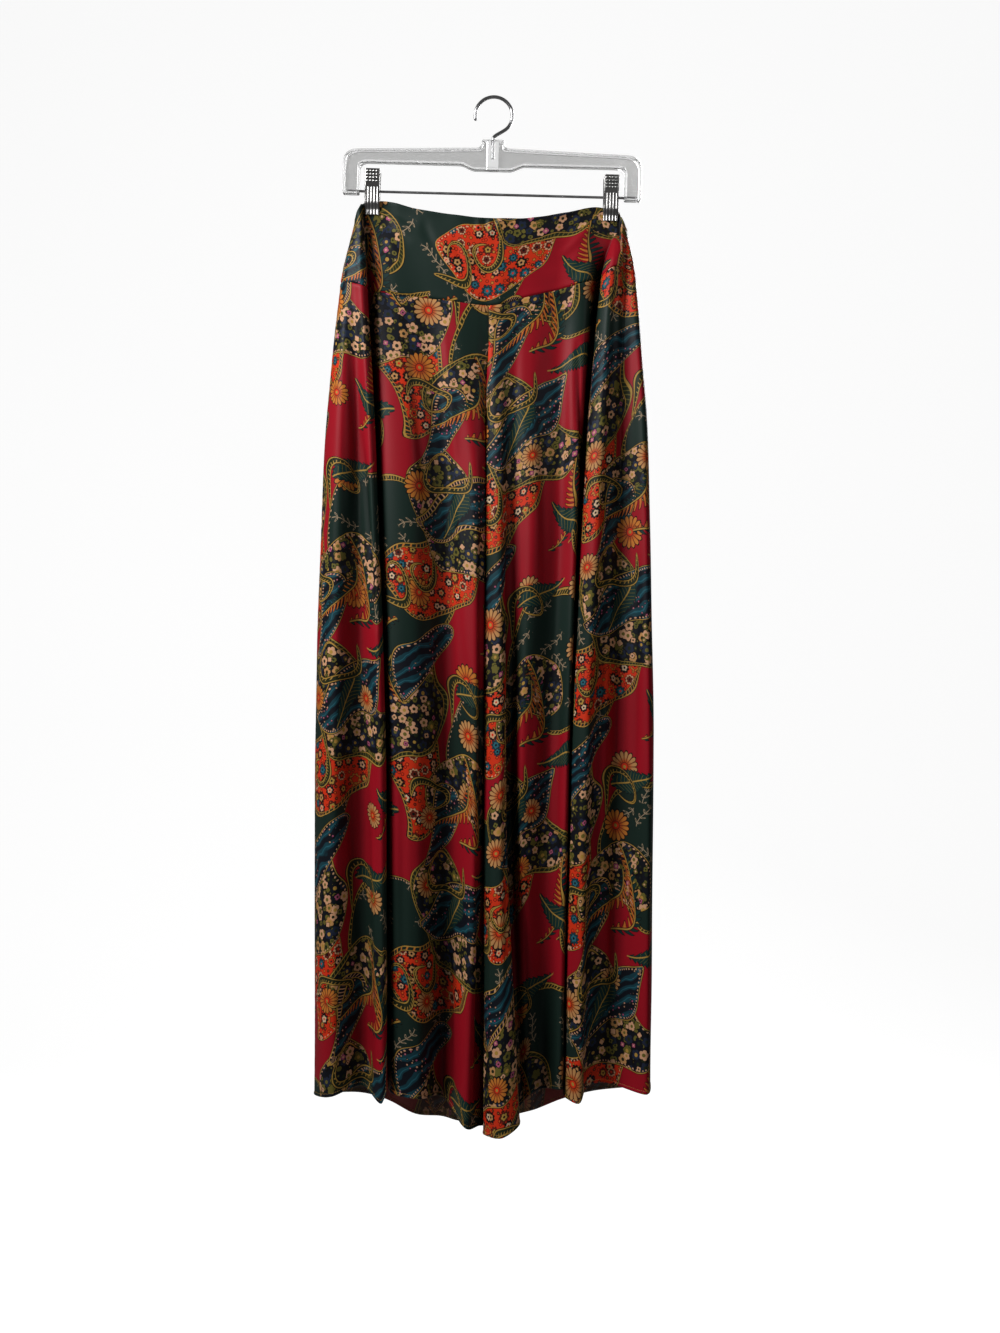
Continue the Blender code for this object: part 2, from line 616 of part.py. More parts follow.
# ---- finishes -------------------------------------------------------------------------------------------
def finish(name, colour, roughness, metallic=0.0, transmission=0.0):
    """A plain material."""
    material = bpy.data.materials.new(name)
    material.use_nodes = True
    shader = material.node_tree.nodes["Principled BSDF"]
    shader.inputs["Base Color"].default_value = (*colour, 1)
    shader.inputs["Roughness"].default_value = roughness
    shader.inputs["Metallic"].default_value = metallic
    shader.inputs["Transmission Weight"].default_value = transmission
    return material


def dress(things, material):
    """Give objects a material and smooth shading with sharp edges kept."""
    for thing in things:
        thing.data.materials.append(material)
        if thing.type == "MESH":
            thing.data.shade_smooth()
            thing.data.set_sharp_from_angle(angle=radians(40))


def build_cloth():
    """The six cut pieces of the garment."""
    meshes = {
        "yoke_front": build_yoke("yoke_front", FRONT_LEFT, FRONT_RIGHT, BACK_LEFT, BACK_RIGHT, -1),
        "yoke_back": build_yoke("yoke_back", BACK_LEFT, BACK_RIGHT, FRONT_LEFT, FRONT_RIGHT, 1),
        "leg_front_left": build_leg("leg_front_left", FRONT_LEFT, BACK_LEFT, FRONT_RIGHT, -1, True),
        "leg_front_right": build_leg("leg_front_right", FRONT_RIGHT, BACK_RIGHT, FRONT_LEFT, -1, False),
        "leg_back_left": build_leg("leg_back_left", BACK_LEFT, FRONT_LEFT, BACK_RIGHT, 1, True),
        "leg_back_right": build_leg("leg_back_right", BACK_RIGHT, FRONT_RIGHT, BACK_LEFT, 1, False),
    }
    return [add_object(name, data) for name, data in meshes.items()]


def main():
    for thing in list(bpy.data.objects):
        bpy.data.objects.remove(thing, do_unlink=True)
    hanger = build_hanger()
    cloth = build_cloth()
    dress(cloth, finish("printed satin", (0.34, 0.014, 0.03), 0.45))
    dress(hanger["plastic"], finish("clear plastic", (0.92, 0.93, 0.94), 0.08, transmission=0.9))
    dress(hanger["steel"], finish("steel wire", (0.55, 0.55, 0.56), 0.25, metallic=1.0))
    dress(hanger["chrome"], finish("pressed metal", (0.7, 0.7, 0.7), 0.2, metallic=1.0))
    bpy.context.view_layer.update()


main()
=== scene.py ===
"""Looks of wide palazzo pants in printed satin, held at the waist by a clear clip hanger.

Lengths are millimetres until a mesh is made, in the frame's own axes: +X to the right seen from the
front, the front faces -Y, +Z up, and the origin inside the crest of the hanger's hook. Places on the flat
cloth are (across, down) in millimetres. Left and right are as seen from the front.
"""

import logging
from collections.abc import Iterable, Sequence
from dataclasses import dataclass, field
from enum import Enum, IntEnum
from math import cos, pi, radians, sin

import bmesh
import bpy
import numpy as np
from bpy.types import ID, Material, Mesh, Node, NodeSocket, NodeTree, Object
from mathutils import Matrix, Vector


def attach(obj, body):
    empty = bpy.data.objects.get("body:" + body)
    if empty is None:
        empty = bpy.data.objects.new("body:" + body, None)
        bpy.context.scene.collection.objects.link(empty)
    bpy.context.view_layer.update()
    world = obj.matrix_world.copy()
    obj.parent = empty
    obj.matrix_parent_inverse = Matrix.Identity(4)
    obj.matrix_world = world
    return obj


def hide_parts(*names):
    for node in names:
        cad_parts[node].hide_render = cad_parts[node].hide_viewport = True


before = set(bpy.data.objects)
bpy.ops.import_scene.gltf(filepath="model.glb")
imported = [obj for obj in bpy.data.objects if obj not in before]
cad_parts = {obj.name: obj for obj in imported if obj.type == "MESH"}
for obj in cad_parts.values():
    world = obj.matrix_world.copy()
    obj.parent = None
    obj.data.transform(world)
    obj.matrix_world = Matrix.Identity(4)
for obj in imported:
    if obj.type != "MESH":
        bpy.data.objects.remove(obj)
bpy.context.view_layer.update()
log = logging.getLogger("palazzo_pants")

MM = 0.001
Array = np.ndarray
Pair = tuple[float, float]
Triple = tuple[float, float, float]
Colour = tuple[float, float, float, float]
Faces = list[tuple[int, ...]]
Shape = tuple[Array, Faces]  # vertices and faces


# ---- the cloth's fold lines ----
class Level(IntEnum):
    """The levels at which a fold line gives its sizes."""

    WAIST = 0
    SEAM = 1
    CROTCH = 2
    KNEE = 3
    HEM = 4


LEVEL_HEIGHTS = np.array([-133.0, -228.0, -462.0, -821.0, -1183.0])


@dataclass(frozen=True)
class Fold:
    """A crease or crest line of the cloth, with its places at the five levels."""

    name: str
    across: tuple[float, ...]
    forward: tuple[float, ...]
    hem: float  # height of its lower end


SEAM_LEFT = Fold("side seam", (-165, -182, -203, -213, -214), (0, 2, 5, 8, 8), -1184)
SEAM_RIGHT = Fold("side seam", (157, 166, 181, 186, 183), (0, 2, 5, 8, 8), -1167)

FRONT_LEFT = (
    SEAM_LEFT,
    Fold("flap outer ridge", (-163, -174, -181, -187, -189), (-7, -20, -28, -33, -35), -1175),
    Fold("flap valley", (-160.2, -164, -160.5, -158, -156), (-10.5, -24, -15, -13, -11), -1168),
    Fold("flap inner ridge", (-158.5, -154, -141, -130.5, -129.5), (-10, -28, -33, -39, -42), -1180),
    Fold("flap edge", (-156.8, -149, -137, -126, -124.5), (-6.5, -21, -27, -32, -34), -1160),
    Fold("tuck", (-156.4, -153.5, -145, -134, -133), (-3.5, -14, -18, -20, -20), -1163),
    Fold("shadow under the flap", (-155.4, -150.5, -140, -130, -127.5), (-1, -4, -6, -6, -6), -1168),
    Fold("ridge A foot", (-152, -141, -131, -121.5, -119), (-1, -9, -22, -27, -28), -1173),
    Fold("ridge A", (-134.5, -118, -99, -92, -89), (-1, -12, -30, -35, -37), -1177),
    Fold("valley", (-90, -84, -60, -58, -63), (-7, -12, -8, -7, -6), -1182),
    Fold("ridge B", (-49, -42, -17, -20, -30), (-12, -16.5, -25, -34, -42), -1211),
    Fold("ridge B foot", (-19, -20, -12, -15, -18.5), (-13.5, -15.5, -19, -22, -24), -1212),
    Fold("middle", (-5, -6.3, -8.3, -8, -8), (-14, -15, 0, 3, 4), -1221),
)

FRONT_RIGHT = (
    Fold("middle", (-5, -6.3, -6.7, -3.8, -3.8), (-14, -15, 0, 3, 4), -1224),
    Fold("strip foot", (2, -2.5, -9.5, -11.5, -12), (-14, -15.5, -16, -23, -35), -1219),
    Fold("strip crest", (10, 5.5, 8, 7.5, 12), (-14, -16.5, -26, -40, -62), -1214),
    Fold("strip edge", (18.5, 13.5, 12.5, 14, 29), (-13.6, -15.5, -21, -35, -52), -1202),
    Fold("strip tuck", (24.5, 19.5, 14.5, 12.5, 22), (-13.3, -15, -17, -22, -31), -1192),
    Fold("shadow by the strip", (31.5, 26.5, 19.5, 18.5, 30), (-13, -14.5, -14.5, -12, -13), -1192),
    Fold("inner panel ridge", (54, 44, 45, 32, 44), (-11.5, -15, -23, -25, -17), -1176),
    Fold("panel valley", (85, 73, 76, 64, 55), (-8, -12, -11, -9, -12), -1172),
    Fold("outer panel ridge", (128, 112, 97, 84.5, 76), (-1, -14, -24, -26, -27), -1169),
    Fold("deep shadow", (149.6, 125, 105, 90, 83), (-1, 2, 8, 10, 11), -1177),
    Fold("flap edge", (149.9, 129.5, 110.5, 93, 85), (-4, -21, -27, -27, -25), -1180),
    Fold("flap crest", (150.5, 139, 124, 106, 98.5), (-7, -28, -35, -36, -36), -1183),
    Fold("strip valley", (151.2, 143.5, 133, 118, 109), (-9.5, -27, -27, -24, -22), -1167),
    Fold("flap ridge", (152.3, 148, 140, 129, 121), (-10.5, -25, -22, -21, -19), -1163),
    Fold("flap valley", (153.6, 152.5, 148, 142, 136), (-10, -19, -13, -10, -8), -1167),
    Fold("flap outer ridge", (155.3, 163, 177, 181, 178), (-7, -20, -30, -36, -37), -1172),
    SEAM_RIGHT,
)

BACK_LEFT = (
    SEAM_LEFT,
    Fold("side bulge", (-163, -178, -192, -200, -201), (8, 18, 30, 38, 42), -1192),
    Fold("bulge valley", (-157.5, -161, -161, -160, -159), (4.5, 17, 22, 24, 22), -1186),
    Fold("outer ridge", (-153.5, -141.5, -132, -130, -129), (1, 13, 30, 42, 50), -1203),
    Fold("outer valley", (-133.5, -115, -101, -98, -95), (1, 12, 21, 25, 24), -1212),
    Fold("inner ridge", (-94.5, -83, -70.5, -67, -65), (6, 15, 30, 42, 52), -1223),
    Fold("inner valley", (-55, -47, -42.5, -40, -38), (11, 17, 21, 24, 22), -1220),
    Fold("ridge by the inseam", (-24, -24, -23, -22, -22), (13, 18, 19, 29, 38), -1222),
    Fold("middle", (-5, -6.3, -8.3, -8, -8), (14, 18, 0, 3, 4), -1221),
)

BACK_RIGHT = (
    Fold("middle", (-5, -6.3, -6.7, -3.8, -3.8), (14, 18, 0, 3, 4), -1224),
    Fold("ridge by the inseam", (14, 10.5, 7, 5, 5), (13, 18, 19, 30, 40), -1226),
    Fold("inner valley", (45, 34.5, 26, 22, 21), (11, 17, 21, 24, 22), -1214),
    Fold("inner ridge", (84, 74, 61, 55.5, 52), (6, 15, 30, 42, 52), -1214),
    Fold("outer valley", (127, 107, 91, 86, 81.5), (1, 12, 21, 25, 24), -1194),
    Fold("outer ridge", (147.5, 132.5, 122.5, 121, 119), (1, 13, 30, 42, 50), -1192),
    Fold("bulge valley", (151.5, 149.5, 149.5, 153.5, 153), (4.5, 17, 22, 24, 22), -1180),
    Fold("side bulge", (155.5, 161.5, 171, 173, 171), (8, 18, 30, 38, 42), -1184),
    SEAM_RIGHT,
)

# Edges that cross the garment, as (across, height).
WAIST_EDGE = (
    (-165, -145), (-160, -133), (-154, -124), (-135, -122), (-95, -132), (-55, -140), (0, -146),
    (29, -146), (92, -136), (126, -130), (146, -132), (152, -147), (157, -157),
)
YOKE_SEAM = (
    (-182, -219), (-164, -225), (-148, -230), (-91, -238), (-57, -243), (-6, -249), (37, -239), (83, -228),
    (125, -215), (142, -206), (166, -214),
)


@dataclass(frozen=True)
class Crease:
    """A soft trough or ridge pressed into a piece, on top of its folds.

    A place on the piece is a fold's number and a share of the piece's height: 2.5 is half way between the
    third and fourth fold lines, and 0 is the upper edge.
    """

    start_fold: float
    start_share: float
    end_fold: float
    end_share: float
    lift: float  # height of the ridge, below zero for a trough
    width: float
    bow: float = 0.0  # how far its middle stands off a straight line


# Each row holds the fields of a Crease.
CREASES: dict[str, tuple[tuple[float, ...], ...]] = {
    "yoke_front": (
        (6.3, 0.02, 8.7, 0.42, -2.2, 7, 4), (6.6, 0.16, 8.4, 0.60, 1.6, 6, 3),
        (7.2, 0.02, 9.0, 0.24, -1.6, 6, 2), (6.4, 0.45, 7.6, 0.92, -1.4, 7, -3),
        (9.1, 0.18, 9.5, 0.45, -1.3, 6, 2), (10.0, 0.30, 10.5, 0.62, -1.5, 5, 2),
        (11.1, 0.00, 11.0, 0.26, 1.2, 3.4), (11.55, 0.0, 11.6, 0.20, -1.2, 3.2),
        (12.0, 0.0, 12.1, 0.30, 1.3, 3.4), (12.6, 0.0, 12.8, 0.17, -1.0, 3.0),
        (13.5, 0.0, 13.4, 0.24, 1.1, 3.4), (15.2, 0.0, 15.0, 0.18, -0.9, 3.6),
        (20.4, 0.02, 18.7, 0.36, -2.2, 7, -4), (20.2, 0.20, 18.9, 0.56, 1.5, 6, -3),
        (19.8, 0.02, 18.3, 0.20, -1.5, 6, -2), (20.3, 0.50, 19.4, 0.90, -1.3, 7, 3),
        (17.6, 0.38, 18.8, 0.72, -0.9, 9, 3), (11.0, 0.62, 15.0, 0.74, 0.7, 9, 4),
    ),
    "yoke_back": (
        (2.8, 0.02, 4.5, 0.42, -2.0, 7, 3), (3.1, 0.25, 4.3, 0.70, 1.4, 7, 3),
        (5.2, 0.0, 5.4, 0.35, -1.2, 6), (6.3, 0.0, 6.2, 0.28, 1.0, 4), (7.2, 0.0, 7.3, 0.22, -1.0, 3.5),
        (8.1, 0.0, 8.0, 0.30, 1.2, 4), (9.2, 0.0, 9.3, 0.24, -1.0, 4), (10.4, 0.0, 10.2, 0.36, 1.1, 6),
        (13.0, 0.02, 11.7, 0.40, -2.0, 7, -3), (12.8, 0.28, 11.6, 0.68, 1.3, 7, -3),
        (7.0, 0.66, 9.6, 0.78, 0.8, 10, 4),
    ),
    "leg_front_left": (
        (2.35, 0.19, 2.85, 0.42, -4.2, 5, 2), (1.5, 0.50, 1.8, 0.78, -2.6, 6, 2),
        (2.5, 0.58, 2.7, 0.95, 2.2, 6, -2), (8.4, 0.02, 8.55, 0.30, -2.1, 6, 1),
        (8.6, 0.36, 8.5, 0.66, 1.9, 6, 2), (9.5, 0.10, 9.6, 0.44, 2.4, 7, -2),
        (10.55, 0.22, 10.6, 0.63, -2.6, 4, 1), (10.45, 0.68, 10.6, 0.97, -2.7, 5, -2),
        (7.6, 0.55, 7.5, 0.93, -2.1, 5, 2), (9.5, 0.04, 9.4, 0.20, 1.8, 6, 1),
        (9.2, 0.74, 9.4, 0.99, -2.6, 7, 3), (9.3, 0.30, 9.5, 0.52, 1.6, 6, 3),
        (1.2, 0.05, 1.5, 0.30, 1.6, 6, 1),
    ),
    "leg_front_right": (
        (0.55, 0.06, 0.50, 0.17, 2.6, 4, 1), (5.5, 0.03, 5.7, 0.26, 1.6, 7, 2),
        (6.3, 0.10, 6.5, 0.38, -1.9, 6, -2), (6.0, 0.72, 6.0, 0.99, -2.7, 5, 1),
        (6.6, 0.45, 6.4, 0.70, 1.9, 7, 3), (7.5, 0.05, 7.65, 0.33, 1.9, 7, -2),
        (7.7, 0.08, 8.6, 0.30, -3.7, 4, 4), (7.4, 0.44, 7.6, 0.80, -1.9, 6, 2),
        (2.3, 0.55, 2.4, 0.84, -1.9, 5, -1), (1.6, 0.62, 1.5, 0.97, 2.1, 6, 2),
        (12.6, 0.30, 12.5, 0.58, -1.9, 4, 1), (14.4, 0.04, 14.3, 0.24, 1.9, 6, 1),
        (14.6, 0.34, 14.5, 0.66, -2.2, 6, -2), (15.4, 0.55, 15.3, 0.95, -1.8, 6, 2),
        (13.5, 0.66, 13.6, 0.97, 1.8, 5, 1),
    ),
    "leg_back_left": (
        (1.6, 0.10, 1.7, 0.42, -2.4, 6, 2), (2.6, 0.05, 2.5, 0.30, 2.1, 7, -2),
        (3.5, 0.30, 3.6, 0.68, -2.2, 7, 3), (4.5, 0.04, 4.6, 0.34, 1.9, 7, 1),
        (5.4, 0.40, 5.5, 0.80, -2.4, 7, -2), (6.5, 0.08, 6.4, 0.36, 1.9, 6, 2),
        (6.6, 0.55, 6.5, 0.96, -2.1, 6, -2), (2.5, 0.60, 2.4, 0.98, 2.1, 7, 2),
        (4.6, 0.66, 4.4, 0.99, 1.9, 8, -2), (7.3, 0.12, 6.2, 0.26, -2.1, 6, 3),
    ),
    "leg_back_right": (
        (0.7, 0.12, 1.8, 0.25, -2.1, 6, -3), (1.5, 0.30, 1.6, 0.62, 1.9, 7, 2),
        (2.5, 0.05, 2.4, 0.36, 1.9, 7, 2), (2.6, 0.48, 2.5, 0.86, -2.4, 7, -3),
        (3.6, 0.20, 3.5, 0.55, -1.9, 8, 2), (4.5, 0.04, 4.4, 0.33, 2.1, 6, 1),
        (5.5, 0.40, 5.4, 0.75, -2.2, 7, 2), (4.6, 0.64, 4.5, 0.98, 1.9, 7, 2),
        (6.4, 0.08, 6.3, 0.44, 1.9, 6, -2), (1.4, 0.70, 1.5, 0.99, -1.8, 7, 2),
    ),
}


# ---- smooth curves ----
def smooth_curve(stations: Sequence[float], values: Array, at: Array) -> Array:
    """Read values that are given at rising stations at other places, smoothly and without overshoot.

    Args:
        stations: rising places of the given values.
        values: the values, with their last axis along the stations.
        at: the places to read.

    Returns:
        The values at those places, along the last axis.
    """
    stations, values, at = np.asarray(stations, float), np.asarray(values, float), np.asarray(at, float)
    steps = np.diff(stations)
    rise = np.diff(values, axis=-1) / steps
    before, after = rise[..., :-1], rise[..., 1:]
    turning = before * after <= 0
    inner = np.where(turning, 0.0, 2 * before * after / np.where(turning, 1.0, before + after))
    slope = np.concatenate([rise[..., :1], inner, rise[..., -1:]], axis=-1)
    span = np.clip(np.searchsorted(stations, at, side="right") - 1, 0, len(steps) - 1)
    share = np.clip((at - stations[span]) / steps[span], 0, 1)
    leans = slope[..., span] * steps[span], slope[..., span + 1] * steps[span]
    return hermite(values[..., span], values[..., span + 1], *leans, share)[0]


def hermite(start: Array, end: Array, lean_start: Array, lean_end: Array,
            share: Array | float) -> tuple[Array, Array]:
    """A cubic from start to end that leaves and arrives with the given leans.

    Args:
        start: where it starts.
        end: where it ends.
        lean_start: its slope at the start, over the whole way.
        lean_end: its slope at the end, over the whole way.
        share: how far along the way to read it, from 0 to 1.

    Returns:
        The places on the cubic, and its slopes there over the whole way.
    """
    square, cube = share**2, share**3
    place = (start * (2 * cube - 3 * square + 1) + end * (3 * square - 2 * cube)
             + lean_start * (cube - 2 * square + share) + lean_end * (cube - square))
    slope = ((start - end) * (6 * share * (share - 1)) + lean_start * (3 * square - 4 * share + 1)
             + lean_end * (3 * square - 2 * share))
    return place, slope


def ease(share: Array) -> Array:
    """A share from 0 to 1 with a soft start and end."""
    share = np.clip(share, 0, 1)
    return share**2 * (3 - 2 * share)


def graded(length: float, step: float, fine: Sequence[float]) -> Array:
    """Places along a length: even steps between fine ones at both ends.

    Args:
        length: the whole length.
        step: the even step.
        fine: rising distances from each end, the first of them 0.

    Returns:
        The rising places from 0 to length.
    """
    start, end = np.array(fine), length - np.array(fine[::-1])
    count = max(int(round((end[0] - start[-1]) / step)), 1)
    return np.concatenate([start[:-1], np.linspace(start[-1], end[0], count + 1), end[1:]])


def run_along(line: Array) -> Array:
    """The way from a line's start to each of its points."""
    return np.concatenate([[0], np.cumsum(np.linalg.norm(np.diff(line, axis=0), axis=1))])


def read_line(line: Array, way: Array, at: Array) -> Array:
    """Points at places along a line whose own points lie at the given ways."""
    return np.stack([np.interp(at, way, values) for values in line.T], axis=1)


def edge_height(edge: Sequence[Pair], across: Array) -> Array:
    """The height of an edge where it crosses the given places."""
    return smooth_curve(*zip(*edge), across)


def fold_lines(folds: Sequence[Fold], heights: Array) -> Array:
    """Points of each fold line at each nominal height.

    Args:
        folds: the fold lines of a piece.
        heights: nominal heights, from the waist's level down.

    Returns:
        Rows of folds of (x, y, z).
    """
    across = smooth_curve(-LEVEL_HEIGHTS, [fold.across for fold in folds], -heights)
    forward = smooth_curve(-LEVEL_HEIGHTS, [fold.forward for fold in folds], -heights)
    top = edge_height(WAIST_EDGE, [fold.across[Level.WAIST] for fold in folds])[:, None]
    seam = edge_height(YOKE_SEAM, [fold.across[Level.SEAM] for fold in folds])[:, None]
    hem = np.array([fold.hem for fold in folds])[:, None]
    waist_level, seam_level, hem_level = LEVEL_HEIGHTS[[Level.WAIST, Level.SEAM, Level.HEM]]
    in_yoke = np.clip((waist_level - heights) / (waist_level - seam_level), 0, 1)
    in_leg = np.clip((seam_level - heights) / (seam_level - hem_level), 0, 1)
    height = top + (seam - top) * in_yoke + (hem - seam) * in_leg
    return np.stack([across, forward, height], axis=-1).transpose(1, 0, 2)


# ---- the hanger's sizes that the cloth needs ----
HANGER_TILT = radians(1.5)  # the hanger hangs a little lower on the right
ROD_HEIGHT = -114.0  # centre of the steel rod under the hook's crest
ROD_RADIUS = 1.5
CLIP_ACROSS = 141.5  # each clip's centre from the hanger's middle
CLIP_WIDTH = 18.0
CLIP_BOTTOM = -142.5
PINCHED_DEPTH = 1.0  # the cloth's centre from the middle plane, inside a clip
TILT = Matrix.Rotation(HANGER_TILT, 4, "Y")


def clip_hold(points: Array) -> Array:
    """How firmly the clips press each point of the cloth flat, from 0 to 1.

    Args:
        points: places in the hanging garment.

    Returns:
        One share for each point.
    """
    flat_beyond, outer_fade, inner_fade, fade_down, start_down = 1.0, 2.0, 22.0, 48.0, 4.0
    most = np.zeros(points.shape[:-1])
    for side in (-1, 1):
        across = side * CLIP_ACROSS
        middle = across * cos(HANGER_TILT) + ROD_HEIGHT * sin(HANGER_TILT)
        bottom = CLIP_BOTTOM * cos(HANGER_TILT) - across * sin(HANGER_TILT)
        reach = CLIP_WIDTH / 2 + flat_beyond
        outward = (points[..., 0] - middle) * side - reach
        inward = -(points[..., 0] - middle) * side - reach
        beside = ease(1 - np.maximum(outward / outer_fade, inward / inner_fade))
        below = ease(1 - (bottom - start_down - points[..., 2]) / fade_down)
        most = np.maximum(most, beside * below)
    return most


# ---- meshes ----
def linked(name: str, data: ID) -> Object:
    """A new object of the given data, linked to the scene."""
    thing = bpy.data.objects.new(name, data)
    bpy.context.collection.objects.link(thing)
    return thing


def new_object(name: str, vertices: Array, faces: Iterable[Sequence[int]]) -> Object:
    """Make an object from points in millimetres and faces.

    Args:
        name: the object's name.
        vertices: rows of (x, y, z).
        faces: vertex numbers of each face.

    Returns:
        The object, linked to the scene and shaded smooth.
    """
    mesh = bpy.data.meshes.new(name)
    mesh.from_pydata((np.asarray(vertices, float) * MM).tolist(), [], [list(face) for face in faces])
    mesh.validate()
    mesh.shade_smooth()
    return linked(name, mesh)


def shell(outer: Array, inner: Array, flip: bool = False) -> Shape:
    """A thin body between two like grids of points.

    Args:
        outer: rows of columns of points on one face.
        inner: the same on the other face.
        flip: turn the faces over.

    Returns:
        Its vertices and faces: those of outer first, then those of inner, then the rim.
    """
    rows, columns = outer.shape[:2]
    count = rows * columns
    number = np.arange(count).reshape(rows, columns)
    corners = number[:-1, :-1], number[1:, :-1], number[1:, 1:], number[:-1, 1:]
    quads = np.stack(corners, axis=-1).reshape(-1, 4)
    edge = [*number[0, :], *number[1:, -1], *number[-1, -2::-1], *number[-2:0:-1, 0]]
    rim = np.array([(a, b, b + count, a + count) for a, b in zip(edge, edge[1:] + edge[:1])])
    turned, straight = slice(None, None, -1), slice(None)
    this, other = (turned, straight) if flip else (straight, turned)
    faces = np.concatenate([quads[:, this], quads[:, other] + count, rim[:, this]])
    return np.concatenate([outer.reshape(-1, 3), inner.reshape(-1, 3)]), faces.tolist()


def ring_sides(rings: int, count: int) -> Faces:
    """The faces between rings of count points each."""
    number = np.arange(rings * count).reshape(rings, count)
    after = np.roll(number, -1, axis=1)
    return np.stack([number[:-1], after[:-1], after[1:], number[1:]], axis=-1).reshape(-1, 4).tolist()


def tube(path: Array, radius: Array | float, sides: int) -> Shape:
    """A closed round tube along a path.

    Args:
        path: points of its centre line.
        radius: its radius, one for all points or one each.
        sides: number of its sides.

    Returns:
        Its vertices and faces.
    """
    path = np.asarray(path, float)
    along = np.gradient(path, axis=0)
    along /= np.linalg.norm(along, axis=1, keepdims=True)
    radii = np.broadcast_to(radius, len(path))
    square = np.cross(along[0], (0.0, 1.0, 0.0) if abs(along[0][1]) < 0.9 else (1.0, 0.0, 0.0))
    rings = []
    for point, way, size in zip(path, along, radii):
        square = square - way * (square @ way)
        square /= np.linalg.norm(square)
        third = np.cross(way, square)
        turn = np.arange(sides) * 2 * pi / sides
        rings.append(point + size * (np.cos(turn)[:, None] * square + np.sin(turn)[:, None] * third))
    last = (len(path) - 1) * sides
    caps = [tuple(reversed(range(sides))), tuple(range(last, last + sides))]
    return np.concatenate(rings), ring_sides(len(path), sides) + caps


def several(parts: Iterable[Shape]) -> Shape:
    """Put several sets of vertices and faces into one."""
    vertices, faces, count = [], [], 0
    for points, own in parts:
        vertices.append(points)
        faces += [tuple(number + count for number in face) for face in own]
        count += len(points)
    return np.concatenate(vertices), faces


# ---- the print's layout ----
class Ground(Enum):
    """The cloth's printed grounds inside an edged patch, in the order in which they lie on each other."""

    GREEN = "green_patch"
    ORANGE = "orange_patch"
    NAVY = "navy_patch"
    TEAL = "teal_patch"


@dataclass(frozen=True)
class Drop:
    """A bent drop or leaf: a patch of the print that grows from a base along a curling spine."""

    ground: Ground
    base: Pair
    heading: float  # degrees: 0 to the right, 90 down
    length: float
    width: float
    bend: float  # degrees that the spine turns by its tip
    base_bluntness: float  # 0.5 is round, 1 pointed
    tip_bluntness: float

    def line(self) -> Array:
        """Points round the drop's edge, the last of them where the first is."""
        share = (1 - np.cos(np.linspace(0, pi, 30))) / 2
        spine = spine_points(self.base, self.heading, self.length, self.bend, share)
        along = np.gradient(spine, axis=0)
        along /= np.linalg.norm(along, axis=1, keepdims=True)
        peak = self.base_bluntness / (self.base_bluntness + self.tip_bluntness)
        scale = peak**self.base_bluntness * (1 - peak)**self.tip_bluntness
        half = share**self.base_bluntness * (1 - share)**self.tip_bluntness / scale * self.width / 2
        offset = np.stack([-along[:, 1], along[:, 0]], axis=1) * half[:, None]
        return np.concatenate([spine + offset, (spine - offset)[-2::-1]])


@dataclass(frozen=True)
class Curl:
    """A printed line that starts along a heading and winds up as it goes."""

    start: Pair
    heading: float
    length: float
    bend: float

    def line(self) -> Array:
        """Points along the line."""
        return spine_points(self.start, self.heading, self.length, self.bend, np.linspace(0, 1, 41))


def spine_points(start: Pair, heading: float, length: float, bend: float, share: Array) -> Array:
    """Points along a line that turns more and more towards its end.

    Args:
        start: where it starts.
        heading: its first heading, in degrees.
        length: its length.
        bend: how far it has turned at its end, in degrees.
        share: the places to give, as rising shares of the length from 0 to 1.

    Returns:
        Rows of (across, down).
    """
    fine = np.linspace(0, 1, 201)
    angle = np.radians(heading + bend * fine**1.6)
    step = length / (len(fine) - 1)
    ways = np.stack([np.cos(angle), np.sin(angle)], axis=1)
    path = np.concatenate([np.zeros((1, 2)), np.cumsum((ways[1:] + ways[:-1]) / 2 * step, axis=0)])
    return np.array(start) + read_line(path, fine, share)


REPEAT_ACROSS = 214.0
REPEAT_DOWN = 468.0  # the next column starts half a repeat lower

DROPS = (
    Drop(Ground.GREEN, (30, 50), 66, 230, 142, 66, 0.5, 0.7),
    Drop(Ground.GREEN, (184, 276), 100, 196, 124, -74, 0.5, 0.7),
    Drop(Ground.ORANGE, (156, 92), 116, 176, 96, 108, 0.5, 0.65),
    Drop(Ground.ORANGE, (20, 330), 38, 158, 88, 98, 0.5, 0.7),
    Drop(Ground.NAVY, (96, 14), 84, 186, 98, -122, 0.5, 0.65),
    Drop(Ground.NAVY, (62, 246), 80, 164, 92, 114, 0.5, 0.6),
    Drop(Ground.NAVY, (200, 410), 204, 130, 68, -106, 0.5, 0.7),
    Drop(Ground.TEAL, (186, 24), 126, 150, 58, 62, 0.7, 0.8),
    Drop(Ground.TEAL, (128, 228), 160, 124, 50, -68, 0.7, 0.8),
    Drop(Ground.TEAL, (108, 398), 82, 110, 46, 64, 0.7, 0.8),
)

LINES = {
    "curl": (
        Curl((150, 18), 96, 150, 330), Curl((12, 196), 20, 120, -300), Curl((118, 330), 250, 140, 340),
        Curl((60, 420), 300, 110, 320), Curl((196, 220), 78, 120, -280), Curl((96, 132), 60, 90, 290),
    ),
    "comb": (
        Curl((206, 128), 80, 120, 88), Curl((44, 214), 118, 110, -76), Curl((150, 366), 60, 112, 92),
        Curl((84, 452), 350, 96, -80),
    ),
    "leaf": (
        Curl((176, 176), 52, 82, 24), Curl((24, 262), 200, 74, -22), Curl((120, 300), 330, 84, 26),
        Curl((40, 440), 150, 70, 20), Curl((110, 110), 300, 72, -24),
    ),
}


